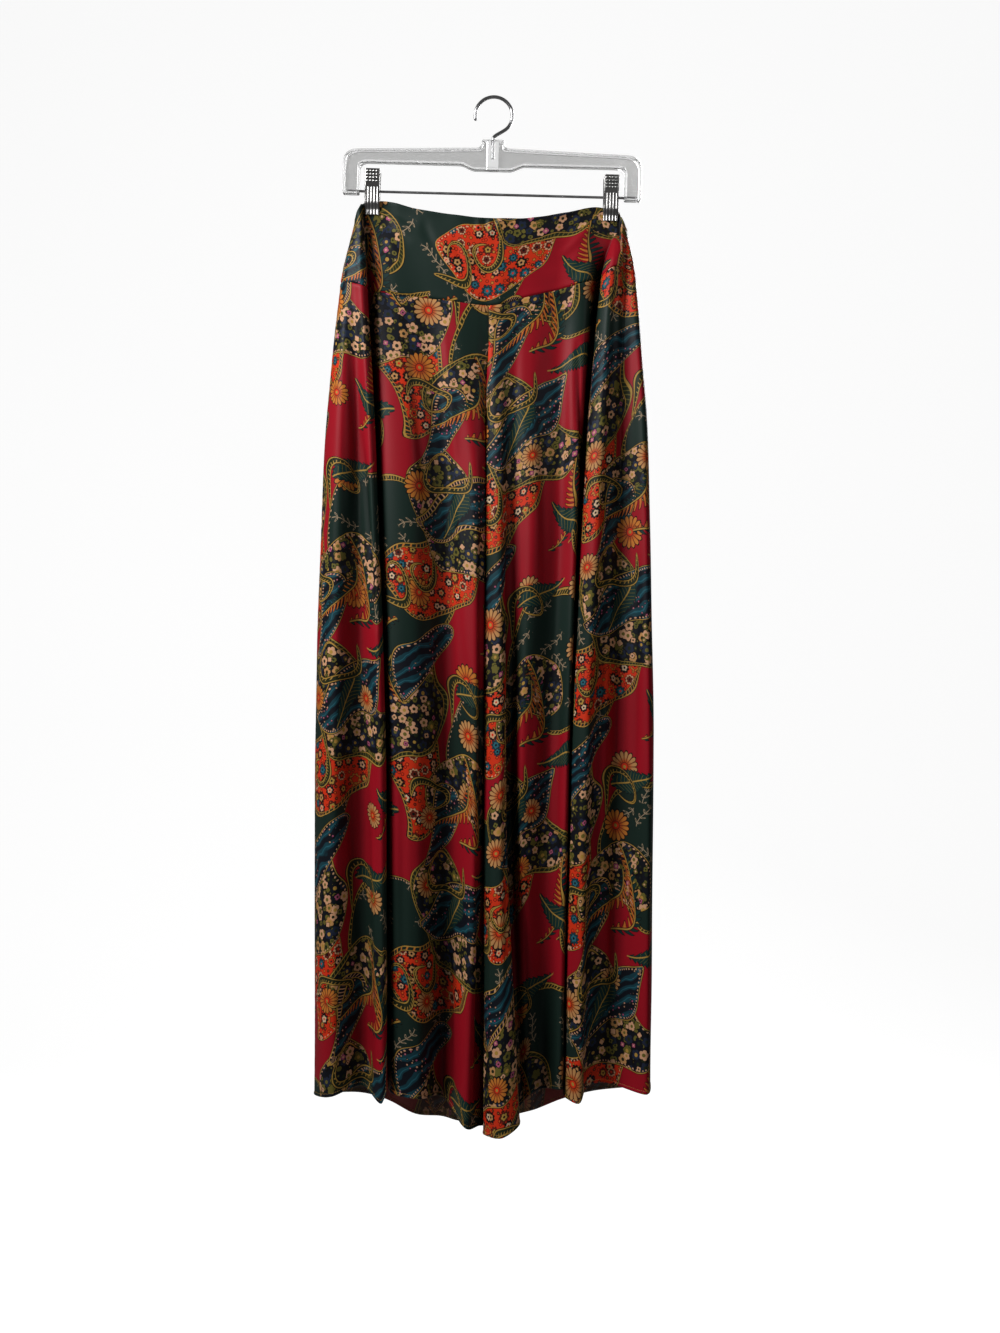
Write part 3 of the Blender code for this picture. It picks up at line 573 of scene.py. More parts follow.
@dataclass
class Print:
    """The print on the flat cloth: a half-drop repeat of patches, curls, leaves and flowers.

    fields() gives numbers for each point of the cloth, which the finish turns into colours. A patch's is
    (distance outside its edge, way along it, its own number), and a line's is (distance to its right or left
    as a signed number, distance, share of its length).
    """

    reach: float = 16.0  # how far past a motif its numbers are worked out
    sway: float = 7.0  # how far outlines wander

    def fields(self, flat: Array) -> dict[str, Array]:
        """Work out every field of the print.

        Args:
            flat: places on the flat cloth, rows of (across, down).

        Returns:
            For each field's name, one vector for each place.
        """
        flat = self.swayed(flat)
        motifs = [(drop.ground.value, drop) for drop in DROPS]
        motifs += [(name, curl) for name, curls in LINES.items() for curl in curls]
        far = (2 * self.reach, 2 * self.reach, 0.0)
        found = {name: np.tile(far, (len(flat), 1)) for name, _ in motifs}
        for across, down, seed in self.copies(flat):
            for index, (name, motif) in enumerate(motifs):
                self.lay(found[name], flat, motif, np.array((across, down)), (seed + index * 0.618) % 1)
        return found

    def swayed(self, flat: Array) -> Array:
        """Sway the places so that outlines wander, in step with the repeat."""
        turns_across, turns_down = 2 * pi * flat[:, 0] / REPEAT_ACROSS, 2 * pi * flat[:, 1] / REPEAT_DOWN
        return flat + np.stack([
            self.sway * np.sin(4 * turns_down + 1.4 * np.sin(turns_across * 2)),
            self.sway * np.sin(2 * turns_across + 1.2 * np.sin(turns_down * 2 + 1.0))], axis=1)

    def copies(self, flat: Array) -> Iterable[Triple]:
        """Give where each copy of the repeat starts.

        Args:
            flat: places on the flat cloth, rows of (across, down).

        Yields:
            How far across and down a copy starts, and a number of its own from 0 to 1.
        """
        low, high = flat.min(axis=0), flat.max(axis=0)
        for column in range(int(low[0] // REPEAT_ACROSS) - 1, int(high[0] // REPEAT_ACROSS) + 2):
            half_drop = REPEAT_DOWN / 2 * (column % 2)
            for row in range(int(low[1] // REPEAT_DOWN) - 2, int(high[1] // REPEAT_DOWN) + 2):
                yield column * REPEAT_ACROSS, row * REPEAT_DOWN + half_drop, (column * 0.37 + row * 0.61) % 1

    def lay(self, values: Array, flat: Array, motif: Drop | Curl, shift: Array, seed: float) -> None:
        """Lay a motif over a field, where it is nearer than what the field holds.

        Args:
            values: the field, changed in place.
            flat: places on the flat cloth.
            motif: the patch or line.
            shift: where its copy of the repeat starts.
            seed: the patch's own number.
        """
        line = motif.line() + shift
        low, high = line.min(axis=0) - self.reach, line.max(axis=0) + self.reach
        at = np.flatnonzero(((flat >= low) & (flat <= high)).all(axis=1))
        if not len(at):
            return
        distance, run, side = to_line(flat[at], line)
        if isinstance(motif, Drop):
            signed = np.where(winds_round(flat[at], line), -distance, distance)
            found, nearer = (signed, run, np.full(len(at), seed)), signed < values[at, 0]
        else:
            found, nearer = (distance * side, distance, run / motif.length), distance < values[at, 1]
        values[at[nearer]] = np.stack(found, axis=1)[nearer]


def to_line(places: Array, line: Array) -> tuple[Array, Array, Array]:
    """Find the nearest point of a line for each place.

    Args:
        places: rows of (across, down).
        line: the line's points.

    Returns:
        The distance, the way along the line, and the side of the line as -1 or 1.
    """
    starts, steps = line[:-1], np.diff(line, axis=0)
    lengths = np.linalg.norm(steps, axis=1)
    before = run_along(line)
    offset = places[:, None] - starts
    share = np.clip((offset * steps).sum(axis=2) / lengths**2, 0, 1)
    gap = offset - share[..., None] * steps
    square = (gap**2).sum(axis=2)
    best = square.argmin(axis=1)
    rows = np.arange(len(places))
    cross = steps[best, 0] * offset[rows, best, 1] - steps[best, 1] * offset[rows, best, 0]
    run = before[best] + share[rows, best] * lengths[best]
    return np.sqrt(square[rows, best]), run, np.where(cross < 0, -1.0, 1.0)


def winds_round(places: Array, closed: Array) -> Array:
    """Whether each place lies inside a closed line."""
    x, y = places[:, :1], places[:, 1:]
    x0, y0, x1, y1 = closed[:-1, 0], closed[:-1, 1], closed[1:, 0], closed[1:, 1]
    crosses = (y0 > y) != (y1 > y)
    height = np.where(y1 == y0, 1.0, y1 - y0)
    return (crosses & (x < (x1 - x0) * (y - y0) / height + x0)).sum(axis=1) % 2 == 1


# ---- shader graphs ----
class Dye(Enum):
    """Colours of the print, as screen red, green and blue."""

    CRIMSON = (162, 18, 34)
    CRIMSON_DEEP = (136, 13, 27)
    BOTTLE = (25, 42, 36)
    FERN = (18, 50, 48)
    MOSS = (36, 42, 24)
    OLIVE = (106, 98, 44)
    NAVY = (17, 20, 28)
    INK = (15, 12, 12)
    UMBER = (98, 34, 22)
    ORANGE = (216, 54, 24)
    AMBER = (200, 122, 50)
    RUST = (188, 82, 34)
    GOLD = (180, 140, 64)
    TAN = (194, 142, 88)
    PEACH = (214, 162, 124)
    PINK = (178, 88, 120)
    CREAM = (220, 188, 152)
    BLUE = (34, 42, 62)
    TEAL = (24, 62, 72)
    SKY = (44, 104, 118)

    @property
    def colour(self) -> Colour:
        """The dye as a linear colour."""
        return linear(*self.value)


def linear(red: float, green: float, blue: float) -> Colour:
    """A screen colour from 0 to 255 as a linear one."""
    shares = (value / 255 for value in (red, green, blue))
    return (*(s / 12.92 if s <= 0.04045 else ((s + 0.055) / 1.055)**2.4 for s in shares), 1.0)


# Painted shade: the near-black colour that deep creases are darkened towards.
PAINTED_SHADE_COLOUR = linear(7, 4, 4)
WHITE = (1.0, 1.0, 1.0, 1.0)


class Wire:
    """A number in a shader graph that takes part in arithmetic."""

    def __init__(self, graph: "Graph", socket: NodeSocket) -> None:
        """Keep the socket that gives the number and the graph that it is in."""
        self.graph, self.socket = graph, socket

    def __add__(self, other: "Wire | float") -> "Wire":
        """Sum."""
        return self.graph.math("ADD", self, other)

    def __sub__(self, other: "Wire | float") -> "Wire":
        """Difference."""
        return self.graph.math("SUBTRACT", self, other)

    def __rsub__(self, other: float) -> "Wire":
        """Difference from a plain number."""
        return self.graph.math("SUBTRACT", other, self)

    def __mul__(self, other: "Wire | float") -> "Wire":
        """Product."""
        return self.graph.math("MULTIPLY", self, other)

    def __truediv__(self, other: "Wire | float") -> "Wire":
        """Quotient."""
        return self.graph.math("DIVIDE", self, other)

    def __abs__(self) -> "Wire":
        """Size without sign."""
        return self.graph.math("ABSOLUTE", self)

    __radd__ = __add__
    __rmul__ = __mul__


Input = Wire | Dye | float | Colour | Triple
Inputs = dict[str | int, Input]


class Graph:
    """Adds nodes to a material's or a group's tree and joins them."""

    def __init__(self, tree: NodeTree) -> None:
        """Work in the given tree."""
        self.tree = tree

    @classmethod
    def group(cls, name: str, inputs: dict[str, str], outputs: dict[str, str]) -> "Graph":
        """Start a shader node group.

        Args:
            name: the group's name.
            inputs: socket types by input name, as Float, Vector or Color.
            outputs: socket types by output name.

        Returns:
            The graph of the new group.
        """
        tree = bpy.data.node_groups.new(name, "ShaderNodeTree")
        for way, sockets in (("INPUT", inputs), ("OUTPUT", outputs)):
            for socket_name, kind in sockets.items():
                tree.interface.new_socket(socket_name, in_out=way, socket_type=f"NodeSocket{kind}")
        graph = cls(tree)
        graph.entry = tree.nodes.new("NodeGroupInput")
        graph.exit = tree.nodes.new("NodeGroupOutput")
        return graph

    def taken(self, name: str) -> Wire:
        """The value of one of the group's inputs."""
        return Wire(self, self.entry.outputs[name])

    def fill(self, node: Node, **values: Input) -> None:
        """Join values to a node's sockets; an underscore in a name stands for a space."""
        for name, value in values.items():
            self.join(value, node.inputs[name.replace("_", " ")])

    def give(self, **values: Input) -> None:
        """Join values to the group's outputs."""
        self.fill(self.exit, **values)

    def join(self, value: Input, socket: NodeSocket) -> None:
        """Link a wire to a socket, or set the socket's own value."""
        if isinstance(value, Wire):
            self.tree.links.new(value.socket, socket)
        else:
            socket.default_value = value.colour if isinstance(value, Dye) else value

    def node(self, kind: str, inputs: Inputs | None = None, **settings: object) -> Node:
        """Add a node.

        Args:
            kind: the node's type, without ShaderNode.
            inputs: what its sockets take, by name or number.
            settings: the node's own settings.

        Returns:
            The node.
        """
        node = self.tree.nodes.new("ShaderNode" + kind)
        for name, value in settings.items():
            setattr(node, name, value)
        for name, value in (inputs or {}).items():
            self.join(value, node.inputs[name])
        return node

    def wire(self, kind: str, inputs: Inputs | None = None, socket: str | int = 0,
             **settings: object) -> Wire:
        """Add a node, as node() does, and give what comes out of one of its sockets."""
        return Wire(self, self.node(kind, inputs, **settings).outputs[socket])

    def math(self, operation: str, *values: Input) -> Wire:
        """A Math node's value."""
        return self.wire("Math", dict(enumerate(values)), operation=operation)

    def vector(self, operation: str, *values: Input) -> Wire:
        """A Vector Math node's vector."""
        return self.wire("VectorMath", dict(enumerate(values)), operation=operation)

    def scaled(self, vector: Wire, factor: Input) -> Wire:
        """A vector times a number."""
        return self.wire("VectorMath", {0: vector, "Scale": factor}, operation="SCALE")

    def parts(self, vector: Input) -> tuple[Wire, Wire, Wire]:
        """A vector's three numbers."""
        return tuple(Wire(self, socket) for socket in self.node("SeparateXYZ", {0: vector}).outputs)

    def below(self, value: Input, edge: Input, soft: float) -> Wire:
        """A mask that is 1 where value is below edge, and fades over soft."""
        gap = self.math("SUBTRACT", edge, value)
        return self.wire("MapRange", {0: gap, 1: -soft / 2, 2: soft / 2, 3: 0.0, 4: 1.0})

    def mix(self, mask: Input, under: Input, over: Input) -> Wire:
        """A colour that changes from under to over with the mask."""
        return self.wire("Mix", {0: mask, 6: under, 7: over}, 2, data_type="RGBA")

    def layers(self, under: Input, *layers: tuple[Input, Input]) -> Wire:
        """A colour with layers over it, each of them a mask and a colour."""
        for mask, over in layers:
            under = self.mix(mask, under, over)
        return under

    def field(self, name: str, socket: str = "Vector") -> Wire:
        """A vector, or with socket Fac a number, that the mesh holds for each vertex."""
        return self.wire("Attribute", socket=socket, attribute_name=name)

    def flat_place(self) -> Wire:
        """The place on the flat cloth, in millimetres."""
        return self.scaled(self.wire("UVMap", uv_map="flat"), 1 / MM)

    def noise(self, place: Wire, scale: float, detail: float = 2.0) -> Wire:
        """Cloudy noise about 0.5."""
        return self.wire("TexNoise", {"Vector": place, "Scale": scale, "Detail": detail}, "Fac")

    def rays(self, *kinds: str) -> tuple[Wire, ...]:
        """Masks of kinds of rays."""
        path = self.node("LightPath")
        return tuple(Wire(self, path.outputs[kind]) for kind in kinds)

    def bump(self, height: Wire, strength: float) -> Wire:
        """A normal that shows a height of a tenth of a millimetre."""
        return self.wire("Bump", {"Height": height, "Strength": strength, "Distance": 0.0001})

    def place(self, group: NodeTree, inputs: Inputs) -> dict[str, Wire]:
        """Place a group.

        Args:
            group: the group's tree.
            inputs: what its inputs take, by name.

        Returns:
            Its outputs by name.
        """
        node = self.tree.nodes.new("ShaderNodeGroup")
        node.node_tree = group
        for name, value in inputs.items():
            self.join(value, node.inputs[name])
        return {socket.name: Wire(self, socket) for socket in node.outputs}

    def pick(self, value: Wire, dyes: Sequence[Dye]) -> Wire:
        """One of several dyes, chosen by a value from 0 to 1."""
        node = self.node("ValToRGB", {0: value})
        ramp = node.color_ramp
        ramp.interpolation = "CONSTANT"
        while len(ramp.elements) < len(dyes):
            ramp.elements.new(0.5)
        for index, dye in enumerate(dyes):
            ramp.elements[index].position = index / len(dyes)
            ramp.elements[index].color = dye.colour
        return Wire(self, node.outputs[0])


@dataclass(frozen=True)
class Scatter:
    """Small flowers scattered over a ground."""

    spacing: float  # about how far apart they are
    petals: tuple[Dye, ...]
    hearts: tuple[Dye, ...]
    count: float  # petals in a flower
    size: float  # a flower's radius as a share of the spacing
    shift: float = 0.0  # moves the scatter, so that another use of it differs


@dataclass(frozen=True)
class Edging:
    """The drawn edge of a ground's patches."""

    band: Dye
    tick: Dye
    pitch: float  # from one tick to the next
    dotted: float  # share of the patches that have one line and dots instead


# The scatters of each ground, from the lowest up.
FLOWERS = {
    Ground.ORANGE: (
        Scatter(7.0, (Dye.ORANGE, Dye.UMBER, Dye.AMBER, Dye.ORANGE),
                (Dye.AMBER, Dye.ORANGE), 5.0, 0.24, 91.0),
        Scatter(15.0, (Dye.INK, Dye.NAVY, Dye.PEACH, Dye.UMBER, Dye.TEAL, Dye.AMBER, Dye.INK),
                (Dye.PEACH, Dye.AMBER, Dye.CREAM), 9.0, 0.42),
        Scatter(15.0, (Dye.TAN, Dye.PEACH, Dye.UMBER, Dye.GOLD, Dye.SKY, Dye.ORANGE, Dye.CREAM),
                (Dye.INK, Dye.ORANGE, Dye.NAVY), 5.0, 0.26),
    ),
    Ground.NAVY: (
        Scatter(8.0, (Dye.OLIVE, Dye.MOSS, Dye.NAVY, Dye.INK, Dye.OLIVE),
                (Dye.MOSS, Dye.OLIVE), 2.0, 0.40, 31.0),
        Scatter(13.0, (Dye.PEACH, Dye.OLIVE, Dye.BLUE, Dye.PEACH, Dye.NAVY, Dye.PEACH, Dye.BLUE, Dye.TAN),
                (Dye.OLIVE, Dye.MOSS, Dye.GOLD), 5.0, 0.45, 57.0),
        Scatter(19.0, (Dye.PINK, Dye.OLIVE, Dye.PEACH, Dye.OLIVE), (Dye.PEACH, Dye.MOSS), 4.0, 0.17, 23.0),
    ),
    Ground.TEAL: (
        Scatter(6.5, (Dye.PINK, Dye.PEACH, Dye.TEAL), (Dye.PEACH, Dye.PINK), 5.0, 0.17, 13.0),
    ),
}

EDGINGS = {
    Ground.GREEN: Edging(Dye.MOSS, Dye.GOLD, 5.0, 0.25),
    Ground.ORANGE: Edging(Dye.BOTTLE, Dye.AMBER, 5.0, 0.3),
    Ground.NAVY: Edging(Dye.MOSS, Dye.OLIVE, 5.0, 0.45),
    Ground.TEAL: Edging(Dye.NAVY, Dye.PEACH, 4.6, 0.8),
}


class PrintDrawing:
    """Node groups that draw the print's colours from the fields that the cloth holds."""

    def __init__(self) -> None:
        """Build the groups."""
        self.build_scatter()
        self.build_rayed()
        self.build_edged()
        self.build_sprig()
        self.build_whole()

    @staticmethod
    def cells(graph: Graph, randomness: float) -> tuple[Wire, Wire, Wire]:
        """Divide the cloth into uneven cells, one for each motif.

        Args:
            graph: the graph to add to, with the inputs Place, on the flat cloth, and Spacing of the motifs.
            randomness: how uneven the cells are, from 0 to 1.

        Returns:
            The place from the cell's middle, and two numbers of the cell's own from 0 to 1.
        """
        spacing = graph.taken("Spacing")
        place = graph.scaled(graph.taken("Place"), graph.math("DIVIDE", 1.0, spacing))
        cells = graph.node("TexVoronoi", {"Vector": place, "Scale": 1.0, "Randomness": randomness},
                           voronoi_dimensions="2D")
        local = graph.vector("SUBTRACT", place, Wire(graph, cells.outputs["Position"]))
        number, turn, _ = graph.parts(Wire(graph, cells.outputs["Color"]))
        return graph.scaled(local, spacing), number, turn

    @staticmethod
    def polar(graph: Graph, local: Wire, turn: Wire) -> tuple[Wire, Wire]:
        """The radius and angle of a place, turned by a number of its own."""
        across, down, _ = graph.parts(local)
        radius = graph.math("SQRT", across * across + down * down)
        return radius, graph.math("ARCTAN2", down, across) + turn * 6.3

    def build_scatter(self) -> None:
        """Small flowers, each in a cell: masks of their dark edge, petals and heart, and their number."""
        graph = Graph.group("Scattered flowers", {
            "Place": "Vector", "Spacing": "Float", "Petals": "Float", "Size": "Float"},
            dict.fromkeys(("Edge", "Petals", "Heart", "Number"), "Float"))
        local, number, turn = self.cells(graph, 0.72)
        radius, angle = self.polar(graph, local, turn)
        size = graph.taken("Size") * graph.taken("Spacing") * (turn * 0.35 + 0.78)
        lobe = abs(graph.math("COSINE", angle * graph.taken("Petals") * 0.5))
        reach = size * (lobe * 0.30 + 0.72)
        graph.give(Edge=graph.below(radius, reach + 0.6, 0.5), Petals=graph.below(radius, reach, 0.5),
                   Heart=graph.below(radius, size * 0.36, 0.5), Number=number)
        self.scatter = graph.tree

    def build_rayed(self) -> None:
        """Large flowers with fine rays and notched petals, far apart, laid over a colour."""
        graph = Graph.group("Rayed flowers", {"Under": "Color", "Place": "Vector", "Spacing": "Float",
                                              "Radius": "Float"}, {"Color": "Color"})
        local, number, turn = self.cells(graph, 0.62)
        length, angle = self.polar(graph, local, turn)
        radius = length / (graph.taken("Radius") * (turn * 0.3 + 0.75))
        shown = graph.math("LESS_THAN", number, 0.42)
        lobe = abs(graph.math("COSINE", angle * 8.0))
        notch = lobe * 0.22 + 0.78
        gap = graph.below(lobe, 0.42, 0.2) * graph.below(0.30, radius, 0.05)
        petal = graph.layers(Dye.TAN, (graph.math("LESS_THAN", number, 0.13), Dye.AMBER),
                             (graph.below(radius, 0.50, 0.25), Dye.RUST), (gap * 0.9, Dye.UMBER))
        rings = ((notch + 0.09, Dye.INK), (notch, petal), (0.30, Dye.UMBER), (0.24, Dye.ORANGE),
                 (0.11, Dye.GOLD))
        graph.give(Color=graph.layers(graph.taken("Under"), *(
            (graph.below(radius, edge, 0.04) * shown, dye) for edge, dye in rings)))
        self.rayed = graph.tree

    def build_edged(self) -> None:
        """A patch over a colour: its edge is two lines with a ticked band between, or a line and dots."""
        colours = dict.fromkeys(("Under", "Fill", "Line", "Band", "Tick"), "Color")
        numbers = dict.fromkeys(("Pitch", "Dotted", "Swell"), "Float")
        graph = Graph.group("Edged patch", {"Field": "Vector", **colours, **numbers}, {"Color": "Color"})
        gap, run, number = graph.parts(graph.taken("Field"))
        pitch, swell, line = graph.taken("Pitch"), graph.taken("Swell"), graph.taken("Line")
        phase = (graph.math("FRACT", run / pitch) - 0.5) * pitch
        dotted = graph.math("LESS_THAN", number, graph.taken("Dotted"))
        ticks = graph.below(abs(phase + (gap + 3.2) * 0.5), 0.65, 0.4)
        dot_away = graph.math("SQRT", phase * phase + (gap + 2.9) * (gap + 2.9))
        graph.give(Color=graph.layers(
            graph.taken("Under"), (graph.below(gap, 0.9, 0.5), Dye.INK), (graph.below(gap, 0.2, 0.4), line),
            (graph.below(gap, swell * -1.2, 0.4), graph.mix(ticks, graph.taken("Band"), graph.taken("Tick"))),
            (graph.below(gap, swell * -5.0, 0.4), line), (graph.below(gap, swell * -5.8, 0.4), Dye.INK),
            (graph.below(gap, swell * (dotted * 5.6 - 6.4), 0.4), graph.taken("Fill")),
            (graph.below(dot_away, 1.0, 0.5) * dotted, Dye.PEACH)))
        self.edged = graph.tree

    def build_sprig(self) -> None:
        """The mask of thin sprigs with small leaves, scattered far apart."""
        graph = Graph.group("Sprigs", {"Place": "Vector", "Spacing": "Float"}, {"Mask": "Float"})
        local, number, _ = self.cells(graph, 0.8)
        turned = graph.wire("VectorRotate", {"Vector": local, "Angle": number * 6.3}, rotation_type="Z_AXIS")
        along, across, _ = graph.parts(turned)
        off = across - graph.math("SINE", along / 8.0) * 4.0
        within = graph.below(abs(along), 18.0, 1.0)
        stem = graph.below(abs(off), 0.4, 0.5)
        phase = graph.math("FRACT", along / 8.0) * 8.0 - 4.0
        slant = phase - abs(off) * 0.7 + 2.2
        away = graph.math("SQRT", slant * slant * 1.6 + (abs(off) - 3.0) * (abs(off) - 3.0) * 0.4)
        leaf = graph.below(abs(away - 1.2), 0.3, 0.5)
        graph.give(Mask=graph.math("MAXIMUM", stem, leaf) * within)
        self.sprig = graph.tree

    def floral(self, graph: Graph, place: Wire, under: Input, ground: Ground) -> Wire:
        """Lay a ground's scattered flowers over a colour.

        Args:
            graph: the graph to add to.
            place: place on the flat cloth.
            under: the colour under the flowers.
            ground: whose flowers.

        Returns:
            The colour with the flowers.
        """
        for flower in FLOWERS[ground]:
            moved = graph.vector("ADD", place, (flower.shift, flower.shift * 0.37, 0.0))
            found = graph.place(self.scatter, {
                "Place": moved, "Spacing": flower.spacing, "Petals": flower.count, "Size": flower.size})
            petals = graph.pick(found["Number"], flower.petals)
            hearts = graph.pick(graph.math("FRACT", found["Number"] * 7.3), flower.hearts)
            under = graph.layers(under, (found["Edge"], Dye.INK), (found["Petals"], petals),
                                 (found["Heart"], hearts))
        return under

    def build_whole(self) -> None:
        """The colour of the whole print."""
        graph = Graph.group("Paisley and flower print", {}, {"Color": "Color"})
        place = graph.flat_place()
        colour = graph.mix(graph.noise(place, 0.012) * 0.5, Dye.CRIMSON, Dye.CRIMSON_DEEP)

        sprigs = graph.place(self.sprig, {"Place": place, "Spacing": 46.0})["Mask"]
        colour = self.patch(graph, Ground.GREEN, colour, graph.mix(sprigs * 0.6, Dye.BOTTLE, Dye.CREAM))
        for ground, dye in ((Ground.ORANGE, Dye.ORANGE), (Ground.NAVY, Dye.NAVY)):
            colour = self.patch(graph, ground, colour, self.floral(graph, place, dye, ground))

        across, down, _ = graph.parts(place)
        wander = graph.noise(place, 0.03) * 26.0
        barbs = graph.math("FRACT", (across * 0.55 + down * 0.84 + wander) / 13.0)
        teal = graph.layers(Dye.NAVY, (graph.below(barbs, 0.5, 0.08), Dye.TEAL),
                            (graph.below(abs(barbs - 0.3), 0.04, 0.05) * 0.7, Dye.SKY))
        flowered = graph.below(0.52, graph.noise(place, 0.028), 0.02)
        teal = graph.mix(flowered, teal, self.floral(graph, place, teal, Ground.TEAL))
        colour = self.patch(graph, Ground.TEAL, colour, teal)

        rayed = graph.place(self.rayed, {"Under": colour, "Place": place, "Spacing": 70.0, "Radius": 18.0})
        colour = rayed["Color"]
        for draw in (self.draw_comb, self.draw_leaf, self.draw_curl):
            colour = draw(graph, colour)
        graph.give(Color=colour)
        self.whole = graph.tree

    def patch(self, graph: Graph, ground: Ground, under: Wire, fill: Wire) -> Wire:
        """Lay the patches of one ground over a colour.

        Args:
            graph: the graph to add to.
            ground: which patches.
            under: the colour under them.
            fill: what they are filled with.

        Returns:
            The colour with the patches.
        """
        edging = EDGINGS[ground]
        swell = graph.noise(graph.flat_place(), 0.022) * 2.4 - 0.35
        return graph.place(self.edged, {
            "Field": graph.field(ground.value), "Under": under, "Fill": fill, "Line": Dye.GOLD,
            "Band": edging.band, "Tick": edging.tick, "Pitch": edging.pitch, "Dotted": edging.dotted,
            "Swell": swell})["Color"]

    @staticmethod
    def draw_comb(graph: Graph, under: Wire) -> Wire:
        """Lay the combs over a colour: a gold spine, with slanted orange teeth on one side and green ones."""
        off, gap, share = graph.parts(graph.field("comb"))
        length = graph.math("SINE", share * pi) * 9.5 + 2.0
        ends = graph.below(abs(share - 0.5), 0.49, 0.01)
        beat = abs(graph.math("FRACT", share * 17.0 + gap * 0.09) - 0.5)
        point = 0.40 - gap / length * 0.30
        light = graph.below(beat, point * 0.45, 0.08) * graph.below(0.0, off, 0.2)
        tooth = graph.layers(Dye.RUST, (graph.below(off, 0.0, 0.2), Dye.FERN), (light, Dye.AMBER))
        close = graph.below(gap, 4.0, 0.5) * ends
        around = graph.below(beat, point + 0.10, 0.06) * graph.below(gap, length + 0.8, 0.4)
        return graph.layers(
            under, (around * ends, Dye.INK),
            (graph.below(beat, point, 0.06) * graph.below(gap, length, 0.4) * ends, tooth),
            (graph.below(abs(off), 1.5, 0.4) * close, Dye.INK),
            (graph.below(abs(off), 0.8, 0.4) * close, Dye.GOLD))

    @staticmethod
    def draw_leaf(graph: Graph, under: Wire) -> Wire:
        """Lay the toothed leaves over a colour."""
        off, gap, share = graph.parts(graph.field("leaf"))
        tooth = graph.math("FRACT", share * 13.0) * -2.6 + 1.0
        half = graph.math("SINE", graph.math("POWER", share, 0.8) * pi) * 13.5 + tooth
        ends = graph.below(abs(share - 0.5), 0.49, 0.01)
        vein = graph.below(abs(graph.math("FRACT", share * 13.0 - gap * 0.15) - 0.5), 0.07, 0.08)
        close = graph.below(gap, 4.0, 0.5) * ends
        return graph.layers(
            under, (graph.below(gap, half + 0.8, 0.4) * ends, Dye.INK),
            (graph.below(gap, half, 0.4) * ends, Dye.FERN),
            (vein * graph.below(gap, half - 1.5, 0.4) * ends, Dye.OLIVE),
            (graph.below(abs(off), 0.8, 0.4) * close, Dye.GOLD))

    @staticmethod
    def draw_curl(graph: Graph, under: Wire) -> Wire:
        """Lay the curls over a colour: two gold lines with olive between, thinner towards the ends."""
        off, gap, share = graph.parts(graph.field("curl"))
        weight = graph.math("SINE", graph.math("POWER", share, 0.6) * pi) * 3.0 + 0.5
        close = graph.below(gap, weight + 2.4, 0.5) * graph.below(abs(share - 0.5), 0.495, 0.01)
        ticks = graph.below(abs(graph.math("FRACT", share * 26.0 + abs(off) * 0.15) - 0.5), 0.12, 0.08)
        band = graph.mix(ticks * graph.below(0.0, off, 0.3), Dye.MOSS, Dye.GOLD)
        bands = ((weight + 0.7, Dye.INK), (weight, Dye.GOLD), (weight - 1.0, band))
        return graph.layers(under, *((graph.below(abs(off), half, 0.4) * close, dye) for half, dye in bands))


# ---- finishes ----
def new_material(name: str, colour: Colour) -> tuple[Material, Graph, Node]:
    """Start a material.

    Args:
        name: the material's name.
        colour: its plain colour in the viewport.

    Returns:
        The material, its graph and its Principled node.
    """
    material = bpy.data.materials.new(name)
    material.use_nodes = True
    material.diffuse_color = colour
    return material, Graph(material.node_tree), material.node_tree.nodes["Principled BSDF"]


def build_weave() -> NodeTree:
    """The group of the satin's weave: the height of fine lengthwise floats, and their slubs."""
    graph = Graph.group("Satin weave", {"Place": "Vector", "Thread": "Float"},
                        {"Height": "Float", "Slub": "Float"})
    across, down, _ = graph.parts(graph.taken("Place"))
    thread = graph.taken("Thread")
    warp = graph.math("SINE", across * 2 * pi / thread)
    floats = graph.math("SINE", down * 2 * pi / (thread * 5.0) + across * 2.1 / thread)
    long_place = graph.wire("CombineXYZ", {0: across * 1.0, 1: down * 0.06, 2: 0.0})
    slub = graph.noise(long_place, 0.9, 3.0)
    graph.give(Height=warp * 0.5 + floats * 0.25 + slub * 0.8, Slub=slub)
    return graph.tree


def build_wear() -> NodeTree:
    """The group of a hard piece's handling wear: smudges and fine scratches."""
    graph = Graph.group("Handling wear", {"Amount": "Float"}, {"Smudge": "Float", "Scratches": "Float"})
    place = graph.wire("TexCoord", socket="Object")
    smudge = graph.below(0.52, graph.noise(place, 60.0, 4.0), 0.2)
    stretched = graph.vector("MULTIPLY", place, (1.0, 1.0, 0.12))
    scratches = graph.below(0.64, graph.noise(stretched, 900.0, 2.0), 0.06)
    graph.give(Smudge=smudge * graph.taken("Amount"), Scratches=scratches * graph.taken("Amount"))
    return graph.tree


